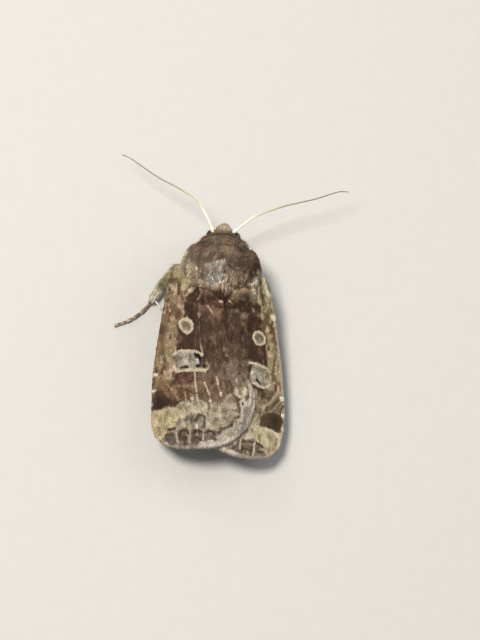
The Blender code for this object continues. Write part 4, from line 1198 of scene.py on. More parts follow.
STREAKS = {  # narrow marks: colour, width, strength, line
    -1: (
        ((198, 184, 170), 0.66, 0.8, ((15.6, 4), (15.5, 4.7), (15.2, 5.3), (14.8, 5.5))),
        ((208, 190, 156), 0.6, 0.6, ((-0.3, 0.85), (0.8, 1), (1.8, 1))),
        ((168, 142, 122), 0.16, 0.7, ((1.9, 2.1), (2.6, 2.4), (3.1, 2.2))),
        ((74, 54, 34), 0.3, 0.7, ((3, 1.4), (2.9, 1.9))),
        ((52, 34, 22), 0.26, 0.7, ((3.2, 2.45), (3.6, 2.6))),
        ((196, 168, 144), 0.13, 0.9, ((3.85, 3.05), (4.4, 3.5))),
        ((162, 136, 104), 0.12, 0.7, ((4.4, 3.5), (4.75, 3.75))),
        ((150, 126, 98), 0.18, 0.5, ((4.6, 3.8), (3.9, 4.35))),
        ((186, 158, 136), 0.1, 0.8, ((4.55, 2.38), (4.85, 2.44))),
        ((124, 98, 82), 0.06, 0.6, ((4.9, 2.45), (5.8, 2.56), (6.6, 2.7))),
        ((152, 126, 108), 0.07, 0.8, ((6.6, 2.7), (7.3, 2.86))),
        ((186, 162, 142), 0.11, 0.9, ((7.3, 2.86), (8, 3.06))),
        ((104, 82, 68), 0.2, 0.5, ((6.1, 2.3), (7.5, 2.4))),
        ((46, 28, 18), 0.16, 0.7, ((7.25, 1.1), (7.22, 1.35))),
        ((204, 178, 151), 0.12, 1, ((9.62, 2.62), (10.2, 2.72), (10.8, 2.86), (11.3, 3))),
        ((162, 136, 114), 0.08, 0.8, ((9.7, 3.3), (10.4, 3.5))),
        ((208, 182, 157), 0.12, 1, ((10.4, 3.5), (10.9, 3.8), (11.45, 4.08))),
        ((150, 122, 102), 0.1, 0.7, ((9.2, 3.75), (9.9, 4.45))),
        ((206, 180, 155), 0.14, 1, ((9.85, 4.48), (10.5, 4.7))),
        ((174, 148, 126), 0.09, 0.9, ((10.5, 4.7), (11.05, 4.97))),
        ((152, 124, 104), 0.12, 0.7, ((10.3, 4.5), (10.95, 4.05))),
        ((124, 92, 74), 0.07, 0.7, ((9.9, 1.4), (10.5, 1.75))),
        ((84, 54, 38), 0.2, 0.6, ((9.9, 1.2), (10.6, 1.45))),
        ((168, 138, 108), 0.12, 0.8, ((9.8, -0.1), (10.4, 0.35), (11, 0.85), (12, 1.6))),
        ((150, 120, 92), 0.1, 0.7, ((10.5, -0.2), (11, 0.3))),
        ((166, 136, 110), 0.3, 0.6, ((10.85, 0.95), (11.3, 1.25))),
        ((78, 56, 34), 0.22, 0.7, ((11.1, 2.1), (11.3, 2.25))),
        ((78, 56, 38), 0.2, 0.6, ((11.9, 2.45), (12.1, 2.6))),
        ((192, 168, 142), 0.09, 0.9, ((11.3, 2.05), (12, 2.2), (13, 2.55))),
        ((200, 178, 150), 0.15, 1, ((11.6, 3.05), (12.05, 3.2))),
        ((192, 173, 146), 0.1, 0.9, ((12, 3.2), (13, 3.5))),
        ((190, 170, 144), 0.09, 0.8, ((12.1, 4.25), (12.85, 4.45))),
        ((182, 162, 142), 0.24, 0.8, ((11, 5.85), (11.7, 5.55), (12.2, 5.3))),
        ((208, 192, 168), 0.22, 0.8, ((12.85, 2.7), (12.95, 3.1), (12.9, 3.5))),
        ((202, 186, 160), 0.2, 0.7, ((12.9, 4.7), (12.75, 5.2))),
        ((192, 174, 150), 0.14, 0.7, ((13, 4.3), (13.3, 4.7))),
        ((84, 71, 52), 0.12, 0.8, ((13.8, 3.15), (13.3, 3.28), (13.15, 3.6), (13.35, 3.92), (14.15, 3.95))),
        ((78, 61, 36), 0.13, 0.9, ((14.45, 0.95), (14.36, 1.6))),
        ((84, 69, 51), 0.2, 0.8, ((14.92, 0.9), (14.88, 1.5))),
        ((70, 54, 39), 0.15, 1, ((15, 2.05), (14.62, 2.1), (14.5, 2.38), (14.58, 2.68), (14.8, 2.72))),
        ((70, 54, 38), 0.15, 1, ((14.72, 3.08), (14.5, 3.2), (14.45, 3.52), (14.62, 3.85))),
        ((74, 58, 40), 0.15, 1, ((14.62, 4.12), (14.4, 4.35), (14.42, 4.7), (14.62, 4.92))),
        ((82, 62, 46), 0.26, 0.9, ((15.22, 2.15), (15.22, 2.55))),
        ((84, 66, 49), 0.2, 0.9, ((15.28, 3.12), (15.1, 3.5), (15.25, 3.85))),
        ((96, 79, 62), 0.2, 0.8, ((14.85, 4.75), (15, 5.05))),
        ((182, 162, 139), 0.15, 1, ((14.15, 1.72), (15, 1.78), (15.55, 1.97))),
        ((178, 158, 137), 0.13, 1, ((14.5, 2.82), (15.5, 2.93))),
        ((182, 164, 142), 0.12, 1, ((14.45, 3.95), (15.2, 4))),
        ((210, 194, 174), 0.16, 1, ((15.1, 4.78), (15.5, 4.6))),
        ((84, 70, 52), 0.13, 0.9, ((14.4, 5.25), (14.05, 5.4), (13.92, 5.65), (13.88, 5.95))),
        ((100, 86, 68), 0.1, 0.8, ((13.85, 6.1), (13.5, 6.2), (13.2, 6.25))),
        ((92, 76, 58), 0.14, 0.9, ((13, 6.4), (12.7, 6.8))),
        ((88, 72, 54), 0.11, 0.9, ((10.95, 6), (11.3, 6.35), (11.8, 6.6), (12.4, 6.85))),
        ((208, 192, 172), 0.18, 0.9, ((11.9, 6.95), (13, 7.02))),
        ((192, 179, 163), 0.62, 0.9, ((9.9, 7.6), (11, 7.8), (12.2, 7.9))),
        ((180, 169, 154), 0.36, 0.8, ((12, 7.85), (12.6, 7.9), (13.2, 7.75))),
        ((150, 138, 122), 0.09, 0.8, ((10.2, 7.75), (10.9, 7.72), (11.7, 7.85))),
        ((214, 202, 186), 0.12, 0.8, ((10.6, 7.5), (11.3, 7.6), (12, 7.65))),
        ((96, 80, 62), 0.17, 0.9, ((10.9, 7.42), (11.2, 7.25), (11.45, 7.18))),
        ((136, 126, 120), 0.24, 0.75, ((12.3, 7.32), (13, 7.34), (13.5, 7.25))),
        ((128, 116, 104), 0.1, 0.8, ((11, 7.9), (11.9, 7.6), (12.3, 7.7))),
        ((206, 190, 164), 0.16, 0.6, ((12.92, -0.2), (12.8, 0.5), (12.86, 1.5))),
        ((152, 139, 88), 0.18, 0.8, ((13.2, 0.72), (13.75, 0.66))),
        ((156, 143, 98), 0.16, 0.7, ((13.2, 1.3), (13.5, 1.35))),
        ((206, 190, 152), 0.18, 0.7, ((13.6, 1.15), (14.1, 0.7))),
        ((198, 170, 140), 0.2, 0.7, ((13, -0.4), (13.9, -0.3))),
        ((188, 168, 134), 0.18, 0.8, ((14.9, 0.1), (15.8, 0.55))),
        ((190, 171, 130), 0.12, 0.7, ((14.66, 0.8), (14.62, 1.5))),
    ),
    1: (
        ((214, 206, 178), 0.26, 0.9, ((-0.4, 0.35), (0.6, 0.1), (1.5, -0.15))),
        ((98, 84, 58), 0.1, 0.8, ((-0.2, 0.48), (1.5, 0.52))),
        ((218, 204, 178), 0.2, 0.9, ((-0.3, 0.66), (0.5, 0.95), (1.1, 1.22))),
        ((82, 66, 50), 0.2, 0.8, ((0.75, 0.8), (0.95, 0.95))),
        ((190, 170, 148), 0.12, 0.9, ((0.9, 0.68), (2.2, 0.8))),
        ((66, 50, 36), 0.2, 0.8, ((1.25, 1.45), (1.9, 1.78))),
        ((150, 142, 110), 0.3, 0.7, ((1.4, 1.1), (2.4, 1.3))),
        ((170, 160, 124), 0.18, 0.7, ((1.8, 0.1), (2.7, -0.2))),
        ((112, 98, 66), 0.14, 0.7, ((2, 0.35), (3.1, 0.1))),
        ((212, 197, 158), 0.1, 0.7, ((2.6, 0), (3.2, 0.3))),
        ((122, 101, 86), 0.12, 0.7, ((6.7, 2.4), (7.3, 2.7))),
        ((122, 102, 86), 0.14, 0.6, ((6.6, 3.3), (7.3, 3.3))),
        ((108, 86, 70), 0.14, 0.6, ((4.4, 2.3), (5.4, 2.1))),
        ((96, 74, 60), 0.1, 0.6, ((6.9, 1.15), (7.4, 1.2))),
        ((180, 160, 132), 0.16, 0.9, ((10.1, -0.3), (10.6, 0), (11.1, 0.5), (11.45, 0.95), (11.65, 1.2))),
        ((168, 148, 122), 0.13, 0.9, ((11.4, 0), (12, 0.6), (12.2, 1))),
        ((176, 156, 130), 0.11, 0.8, ((10.7, -0.55), (11.2, -0.2), (11.6, 0.2))),
        ((176, 156, 130), 0.11, 0.7, ((11, 0.95), (11.3, 0.5))),
        ((172, 152, 128), 0.12, 0.7, ((11.8, -0.5), (12.05, -0.1))),
        ((176, 158, 132), 0.14, 0.7, ((11.4, 1.6), (11.9, 1.25))),
        ((84, 64, 45), 0.14, 0.8, ((10.9, -0.15), (11.4, 0.4))),
        ((86, 66, 48), 0.16, 0.8, ((11.3, -0.65), (11.9, -0.3))),
        ((88, 68, 48), 0.14, 0.7, ((11.6, 0.8), (12, 1.05))),
        ((92, 72, 50), 0.12, 0.7, ((10.3, 0.2), (10.9, 0.75))),
        ((190, 168, 141), 0.12, 0.8, ((12, 1.15), (12.4, 1.5), (12.9, 1.65))),
        ((96, 76, 52), 0.16, 0.6, ((10.7, -0.4), (11.3, 0.1), (11.7, 0.5))),
        ((222, 208, 178), 0.17, 0.95, ((13.45, 1.2), (13.6, 0.45), (14.1, 0.05), (14.6, 0), (15.1, 0.2),
            (15.9, 0.95))),
        ((84, 69, 48), 0.18, 1, ((14.98, 1.5), (14.78, 1.9), (14.72, 2.15))),
        ((84, 69, 50), 0.15, 1, ((14.72, 2.35), (14.5, 2.7), (14.52, 3.1))),
        ((88, 73, 50), 0.16, 0.9, ((15.48, 1.4), (15.4, 2.05))),
        ((80, 66, 48), 0.16, 0.9, ((15.3, 2.5), (15.15, 3), (15.22, 3.45))),
        ((198, 181, 158), 0.14, 1, ((14.6, 2.22), (15.2, 2.3), (15.7, 2.42))),
        ((188, 171, 150), 0.14, 1, ((14.3, 3.3), (14.8, 3.4), (15.15, 3.52))),
        ((112, 97, 76), 0.2, 0.8, ((13.65, 2.7), (13.75, 2.95))),
    ),
}
SPOTS = {  # colour, place, half sizes along and across, strength
    -1: (
        ((220, 200, 170), (2.28, 1.44), (0.26, 0.2), 0.95), ((212, 196, 168), (1.12, 1.8), (0.14, 0.26), 0.9),
        ((188, 172, 120), (0.85, 0.35), (0.3, 0.35), 0.8), ((184, 170, 118), (1.4, 0.75), (0.35, 0.25), 0.7),
        ((120, 104, 62), (0.45, 0.7), (0.2, 0.16), 0.7), ((104, 90, 54), (1.15, 0.15), (0.14, 0.2), 0.7),
        ((88, 72, 44), (2.35, -0.2), (0.14, 0.34), 0.8), ((234, 225, 200), (1.75, -0.58), (0.18, 0.16), 1),
        ((206, 190, 160), (1.9, 0.9), (0.3, 0.12), 0.7), ((92, 76, 50), (2.5, 1.05), (0.22, 0.16), 0.7),
        ((192, 162, 140), (3.05, 2.75), (0.12, 0.1), 0.8), ((218, 193, 168), (3.14, 4.1), (0.16, 0.14), 1),
        ((202, 182, 152), (3.1, 4.83), (0.14, 0.1), 0.9), ((186, 165, 132), (3.35, 1.15), (0.14, 0.11), 0.8),
        ((190, 165, 140), (3.2, 2.12), (0.12, 0.09), 0.7), ((164, 132, 112), (3.85, 4.75), (0.14, 0.12), 0.7),
        ((172, 146, 126), (7.3, 4.88), (0.12, 0.1), 0.8), ((176, 150, 130), (7.85, 5.16), (0.12, 0.12), 0.8),
        ((148, 122, 104), (8.6, 5.4), (0.22, 0.2), 0.7), ((164, 138, 122), (9.4, 5.95), (0.2, 0.16), 0.7),
        ((188, 170, 150), (9.85, 6.25), (0.2, 0.12), 0.8), ((142, 112, 96), (9.25, 4.8), (0.25, 0.25), 0.6),
        ((228, 212, 190), (11.2, 5.04), (0.2, 0.11), 1), ((226, 206, 180), (11.87, 4.17), (0.17, 0.14), 1),
        ((228, 212, 188), (9.6, -0.6), (0.17, 0.2), 1), ((232, 222, 196), (11, -0.58), (0.17, 0.2), 1),
        ((176, 160, 142), (12.2, -0.62), (0.16, 0.16), 0.9), ((228, 217, 200), (12.9, -0.7), (0.16, 0.2), 1),
        ((198, 183, 164), (14.03, 2.28), (0.17, 0.2), 0.95), ((216, 201, 182), (14.12, 3.33), (0.16, 0.2), 1),
        ((200, 183, 160), (13.95, 4.32), (0.24, 0.24), 0.9),
        ((184, 166, 143), (13.45, 5.5), (0.28, 0.28), 0.8), ((132, 113, 95), (13.9, 1.84), (0.36, 0.2), 0.9),
        ((110, 96, 76), (13.5, 2.55), (0.26, 0.26), 0.7), ((98, 84, 62), (13.6, 2.9), (0.3, 0.14), 0.8),
        ((138, 126, 106), (13.6, 3.6), (0.26, 0.18), 0.7), ((100, 84, 63), (13.35, 4.9), (0.18, 0.2), 0.8),
        ((128, 113, 90), (13.65, 4.75), (0.3, 0.22), 0.7), ((136, 120, 98), (13.25, 5.9), (0.2, 0.2), 0.6),
        ((166, 149, 129), (14.82, 3.45), (0.14, 0.2), 0.9), ((112, 94, 77), (14.8, 2.4), (0.14, 0.16), 0.8),
        ((116, 98, 78), (11.55, 5.95), (0.24, 0.28), 0.7), ((188, 172, 156), (12.1, 6), (0.18, 0.3), 0.7),
        ((134, 115, 95), (12.35, 6.5), (0.18, 0.2), 0.8), ((224, 209, 190), (11.58, 7.02), (0.38, 0.36), 0.9),
        ((44, 32, 22), (11.64, 6.98), (0.15, 0.12), 1), ((218, 203, 184), (14.75, 6.08), (0.13, 0.24), 0.9),
        ((176, 170, 140), (14, 6.45), (0.35, 0.12), 0.6), ((190, 168, 130), (8.4, 0.3), (0.25, 0.18), 0.8),
        ((192, 172, 130), (7.7, 0.55), (0.18, 0.2), 0.7), ((98, 78, 50), (7.75, -0.3), (0.22, 0.2), 0.8),
        ((184, 158, 127), (3.25, 0.2), (0.25, 0.2), 0.7), ((182, 156, 125), (3.7, 0.65), (0.4, 0.16), 0.7),
    ),
    1: (
        ((238, 228, 202), (1.45, -0.12), (0.26, 0.2), 1), ((238, 224, 192), (3.6, -0.45), (0.28, 0.22), 1),
        ((216, 197, 170), (2.3, 0.78), (0.34, 0.2), 0.9), ((204, 184, 158), (3.15, 1.45), (0.19, 0.1), 0.9),
        ((212, 187, 162), (2.4, 3.35), (0.15, 0.1), 0.9), ((214, 196, 172), (1.7, 1.6), (0.22, 0.08), 0.8),
        ((212, 197, 170), (9.4, 0), (0.14, 0.14), 0.8), ((236, 226, 198), (10.65, -0.66), (0.22, 0.26), 1),
        ((236, 223, 200), (12.15, -0.58), (0.2, 0.18), 1),
        ((204, 191, 168), (13.3, -0.42), (0.26, 0.18), 0.9),
        ((192, 174, 147), (11.6, 1.15), (0.2, 0.14), 0.9), ((150, 138, 100), (14.05, 0.9), (0.28, 0.15), 0.8),
        ((140, 128, 90), (14.1, 1.8), (0.22, 0.12), 0.8), ((150, 138, 95), (15.1, 0.55), (0.28, 0.14), 0.8),
        ((212, 202, 168), (14.7, 1.2), (0.22, 0.16), 0.7), ((206, 191, 174), (15.95, 2.8), (0.25, 0.15), 0.8),
        ((202, 187, 170), (15.55, 4), (0.3, 0.18), 0.8), ((104, 92, 76), (15, 2.7), (0.2, 0.3), 0.6),
        ((150, 130, 112), (8.4, 2.9), (0.2, 0.14), 0.6), ((192, 178, 158), (10.25, 2.25), (0.26, 0.2), 0.8),
        ((140, 118, 100), (9.2, 2.6), (0.2, 0.12), 0.6),
    ),
}
PATCHES = {  # a dark patch before the tip: outline, then its darkest middle
    -1: (((11.15, -0.3), (11.3, 0.3), (11.7, 0.65), (12.05, 1.35), (12.3, 1.35), (12.45, 0.9), (12.52, 0.3),
          (12.8, -0.35), (12.4, -0.5), (12.05, -0.25), (11.6, -0.55)), (12.2, 0.15)),
    1: (((12.1, -0.05), (12, 0.6), (12.2, 1.15), (12.45, 1.55), (13, 1.6), (13.2, 1.45), (13.2, 0.8),
         (13.55, 0.2), (13.7, -0.25), (13.1, -0.25), (12.7, -0.55), (12.35, -0.3)), (12.75, 0.3)),
}


def wing_colours(s, t, side):
    """The forewing's marks at s back and t inwards."""
    flat = np.array((s, t))
    wander = np.array((patches(s, t, 0.5, 1), patches(s, t, 0.5, 2)))
    jitter = np.array((patches(s, t, 0.14, 7), patches(s, t, 0.14, 8)))
    p, q = flat + 0.07 * wander + 0.035 * jitter
    slant = q - 0.25 * p
    cloud, clump = patches(p, q, 0.6, 3), patches(p / 1.5, slant, 0.26, 4)
    streak, fine = patches(p / 3.2, slant, 0.16, 5), patches(p / 1.4, q, 0.11, 6)
    paint = Paint(len(s), 80, 59, 43)
    for colour, soft, strength, outline in FIELDS[side]:
        paint.lay(*colour, within(p, q, outline, soft) * strength)
    # Clumps, streaks and a net of lighter and darker scales run through every field.
    paint.shade(1 + 0.08 * cloud + 0.12 * clump + 0.07 * streak + 0.05 * fine)
    mottle = patches(p / 1.2, slant, 0.4, 14) + 0.5 * patches(p, q, 0.2, 15)
    plain, net = paint.colour.mean(axis=1), np.abs(patches(p / 1.7, slant, 0.46, 10) + 0.35 * fine)
    pale = ramp(plain, 0.42, 0.56)
    light = ramp(clump + 0.6 * streak + 0.4 * fine, 0.35, 1.0)
    dark = ramp(-clump - 0.6 * streak - 0.5 * fine, 0.35, 1.0)
    field = (1 - pale) * ramp(q, 1.9, 2.3) * ramp(p, 3.5, 4.2)
    paint.lay(126, 99, 80, field * ramp(mottle, 0.3, 0.9) * 0.38)
    paint.lay(62, 44, 33, field * ramp(-mottle, 0.25, 0.9) * 0.4)
    paint.lay(156, 133, 108, light * 0.42 * (1 - pale))
    paint.lay(210, 190, 160, light * 0.5 * pale)
    paint.lay(50, 34, 24, dark * 0.45 * (1 - pale))
    calm = 1 - 0.55 * ramp(p, 12.2, 12.8)
    paint.lay(104, 82, 56, np.maximum(dark * 0.55, (1 - ramp(net, 0.03, 0.24)) * 0.42) * pale * calm)
    # Oblique flecks in the tan strip along the front edge, and lumps in the pale zone before the edge.
    strip = pale * (1 - ramp(q, 1.0, 1.4)) * (1 - ramp(p, 11, 12))
    fleck = patches((p + 0.5 * q) / 2.6, q - 0.3 * p, 0.2, 11)
    paint.lay(88, 63, 42, strip * ramp(fleck + 0.4 * cloud, 0.2, 0.6) * 0.85)
    paint.lay(202, 179, 150, strip * ramp(-fleck - 0.4 * clump, 0.15, 0.7) * 0.85)
    zone = ramp(p, 12.0, 12.4) * (1 - ramp(p, 14.1, 14.5)) * ramp(q, 1.4, 1.9)
    lump = patches(p, q, 0.34, 16) + 0.35 * clump
    paint.lay(206, 194, 174, zone * ramp(lump, 0.15, 0.75) * 0.6)
    paint.lay(116, 100, 78, zone * ramp(-lump, 0.3, 0.8) * 0.5)
    outer_part = ramp(p, 8.6, 9.8) * (1 - ramp(p, 12, 13))
    paint.lay(150, 126, 102, (1 - ramp(net, 0.02, 0.2)) * 0.3 * outer_part * (1 - pale))
    # The grey edge, wide in the inner corner.
    gap = gap_from(p, q, TERMEN_LINE) * (1 + 0.25 * patches(p, q, 0.5, 9))
    corner = ramp(q, 5.2, 6.8)
    rim = ramp(q, 1.6, 2.4) * ramp(p, 10.7, 11.5) * (0.86 + 0.3 * clump)
    edged = (1 - ramp(gap, 0.35 + 0.52 * corner, 0.5 + 0.62 * corner)) * rim
    paint.lay(142, 130, 117, edged)
    paint.lay(166, 154, 140, edged * ramp(q, 3.8, 4.6))
    fold = patches(p - 0.6 * q, (p + q) / 2.2, 0.3, 17)
    paint.lay(204, 192, 176, edged * corner * ramp(fold + 0.4 * fine, 0.1, 0.7) * 0.7)
    paint.lay(132, 121, 108, edged * corner * ramp(-fold - 0.4 * fine, 0.25, 0.9) * 0.6)
    paint.lay(106, 94, 80, (1 - ramp(gap, 0.6, 1.0)) * corner * rim * ramp(clump - streak, 0.1, 0.9) * 0.6)
    paint.lay(178, 166, 151, (1 - ramp(gap, 0.5, 0.9)) * corner * rim * ramp(streak - clump, 0.1, 0.9) * 0.6)
    paint.lay(184, 171, 156, (1 - ramp(gap, 0.3, 0.52)) * ramp(q, 7.1, 7.6) * rim * 0.9)
    paint.lay(158, 145, 132, (1 - ramp(gap, 0.14, 0.3)) * ramp(q, 0.5, 1.5) * 0.8)
    if side > 0:
        paint.lay(192, 176, 150, (1 - ramp(gap_from(p, q, FRONT_EDGES[1]), 0.1, 0.26)) * ramp(p, 1, 2) * 0.75)
    line_p, line_q = flat + 0.03 * wander + 0.012 * jitter
    for colour, width, strength, line in STREAKS[side]:
        paint.lay(*colour, stripe(line_p, line_q, line, width, 0.06) * strength)
    spot_p, spot_q = flat + 0.04 * wander + 0.07 * jitter
    for colour, at, half, strength in SPOTS[side]:
        paint.lay(*colour, oval(spot_p, spot_q, at, half, 0, 0.3) * strength)
    outline, middle = PATCHES[side]
    patch = within(p, q, outline, 0.07)
    paint.lay(*((76, 54, 42) if side < 0 else (86, 68, 52)), patch * (0.95 - 0.25 * light))
    paint.lay(*((48, 31, 23) if side < 0 else (60, 44, 30)),
              patch * oval(p, q, middle, (0.65, 0.6), 0, 0.6) * (0.75 + 0.4 * clump))
    # The round spot, ringed in cream, and the kidney-shaped one between two cream bars.
    p, q = flat + 0.035 * wander + 0.02 * jitter
    if side < 0:
        at, shadow, turn = (5.62, 1.44), (0.9, 0.72), 0.62
        ring = within(p, q, ((4.85, 1.1), (4.85, 1.5), (5.15, 1.9), (5.5, 2.08), (5.85, 2.08), (6.2, 1.9),
                             (6.38, 1.65), (6.2, 1.35), (5.9, 1.1), (5.6, 0.85), (5.25, 0.75), (5.0, 0.85)),
                      0.06)
        hole = within(p, q, ((5.15, 1.15), (5.2, 1.45), (5.5, 1.8), (5.8, 1.88), (6.03, 1.7), (5.95, 1.42),
                             (5.6, 1.1), (5.3, 1.02)), 0.08)
    else:
        at, shadow, turn = (5.68, 1.05), (0.8, 0.76), 0
        ring = oval(p, q, at, (0.66, 0.62), 0, 0.07)
        hole = oval(p, q, at, (0.42, 0.4), 0, 0.14)
    paint.lay(52, 36, 26, oval(p, q, at, shadow, turn, 0.12) * 0.6)
    paint.lay(208, 190, 162, ring)
    paint.lay(226, 210, 184, ring * ramp(fine + clump, 0.2, 0.9) * 0.6)
    paint.lay(*((128, 110, 94) if side < 0 else (112, 106, 84)), hole)
    paint.lay(152, 140, 122, oval(p, q, (at[0] + 0.22, at[1]), (0.16, 0.22), 0, 0.5) * 0.8)
    if side < 0:
        kidney = within(p, q, ((7.85, 0.95), (7.8, 2.4), (8.3, 3.0), (9.2, 3.4), (9.4, 3.2), (9.4, 1.2),
                               (8.9, 0.8), (8.3, 0.75)), 0.07)
        bars = (((8.05, 0.7), (7.86, 0.92), (7.74, 1.25), (7.8, 2.4), (7.92, 2.75), (8.1, 3.02)),
                ((9.0, 0.78), (9.26, 0.92), (9.5, 1.15), (9.46, 2.0), (9.42, 3.45), (9.2, 3.62)))
    else:
        kidney = oval(p, q, (8.9, 1.25), (0.92, 0.86), 0, 0.06)
        bars = (((8.45, 0.45), (8.12, 0.8), (7.98, 1.3), (7.84, 2.05)),
                ((9.68, 0.5), (9.95, 0.98), (9.84, 1.45), (9.58, 1.95)))
        paint.lay(176, 160, 134, stripe(p, q, ((8.5, 0.42), (9.1, 0.3), (9.7, 0.48)), 0.2, 0.08))
    paint.lay(142, 132, 112, kidney)
    paint.lay(184, 175, 156, kidney * ramp(clump + 0.7 * fine, 0.0, 0.8) * 0.8)
    paint.lay(96, 86, 68, kidney * ramp(-clump - 0.7 * fine, 0.2, 0.9) * 0.8)
    if side < 0:
        paint.lay(206, 198, 184, kidney * oval(p, q, (8.65, 1.75), (0.3, 0.26), 0, 0.6) * 0.7)
        dusk = stripe(p, q, ((8.1, 1.05), (8.5, 0.98), (9.1, 1.15)), 0.1, 0.1)
        paint.lay(118, 106, 84, kidney * dusk * 0.8)
        paint.lay(214, 204, 188, kidney * stripe(p, q, ((8.5, 2.7), (8.8, 2.75)), 0.2, 0.08) * 0.9)
    for bar in bars:
        paint.lay(208, 190, 166, stripe(p, q, bar, 0.21, 0.06))
    if side < 0:
        paint.lay(186, 168, 132, stripe(p, q, ((8.3, 0.55), (8.9, 0.6)), 0.22, 0.12) * 0.7)
        paint.lay(176, 156, 134, stripe(p, q, ((9.3, 3.65), (9.0, 3.75), (8.7, 3.45)), 0.15, 0.08) * 0.8)
        paint.lay(104, 88, 74, stripe(p, q, ((8.75, 3.05), (8.95, 3.25)), 0.34, 0.1) * 0.9)
        paint.lay(*BLACK, within(p, q, ((7.98, 2.35), (7.98, 2.75), (8.25, 3.02), (8.75, 3.1), (8.7, 2.85),
                                        (8.4, 2.72), (8.25, 2.45)), 0.05))
        paint.lay(*BLACK, oval(p, q, (9.05, 2.82), (0.16, 0.18), 0, 0.25))
        paint.lay(*BLACK, oval(p, q, (9.06, 3.3), (0.16, 0.1), 0, 0.3))
        paint.lay(60, 44, 32, stripe(p, q, ((8.55, 2.95), (9.0, 3.0)), 0.12, 0.1) * 0.8)
        paint.lay(*BLACK, stripe(p, q, ((9.22, 1.45), (9.14, 1.7), (9.18, 2.0)), 0.1, 0.06))
    else:
        paint.lay(178, 168, 149, oval(p, q, (9.1, 1.9), (0.45, 0.25), 0, 0.4) * 0.8)
        paint.lay(250, 244, 228, oval(p, q, (8.68, 1.96), (0.17, 0.1), 0, 0.3))
        paint.lay(*BLACK, stripe(p, q, ((9.24, 1.62), (9.56, 1.36)), 0.12, 0.06))
    return paint.colour


def unwrap_wing(bed):
    """Lays a forewing's bed out flat inside the unit square, by its own span."""
    set_unwrap(bed, (get_values(bed, "span")[:, :2] + (0.2, 1.0)) / (17.0, 9.6))


def underside_colours(s, t):
    """Under the wing: pale grey-brown, with a dim spot and band showing through."""
    paint = Paint(len(s), 150, 137, 119)
    paint.lay(104, 90, 76, 0.7 * oval(s, t, (8.6, 1.8), (0.5, 0.8), 0, 0.6))
    paint.lay(108, 94, 80, 0.5 * stripe(s, t, [(10.8, -0.5), (11.6, 2.0), (11.2, 5.0), (9.6, 7.0)], 0.6, 0.5))
    paint.lay(176, 160, 134, 0.7 * (1 - ramp(t, -0.6, 0.1)))
    paint.shade(1 + 0.08 * patches(s, t, 0.4, 8) + 0.06 * patches(s / 2, t, 0.15, 9))
    return paint.colour


def fringe_colours(flat, out):
    """The fringe: a pale foot, a dark line, and a grey tip that is darker between the veins."""
    s, t = flat[:, 0], flat[:, 1]
    paint = Paint(len(s), 150, 138, 124)
    paint.lay(116, 102, 90, 0.8 * stripe(out, out * 0, [(0.42, -1), (0.42, 1)], 0.22, 0.2))
    paint.lay(118, 106, 96, 0.6 * ramp(vein_wave(t), 0.2, 0.9) * ramp(t, 1.0, 1.6))
    paint.lay(192, 178, 165, 0.85 * ramp(t, 3.2, 4.0) * (1 - ramp(t, 6.2, 7.0)))
    paint.lay(168, 158, 144, 0.5 * ramp(out, 0.6, 1.0))
    paint.lay(186, 168, 132, (1 - ramp(t, 0.6, 1.3)) * (1 - ramp(s, 16.4, 17)) * 0.7)
    return paint.colour


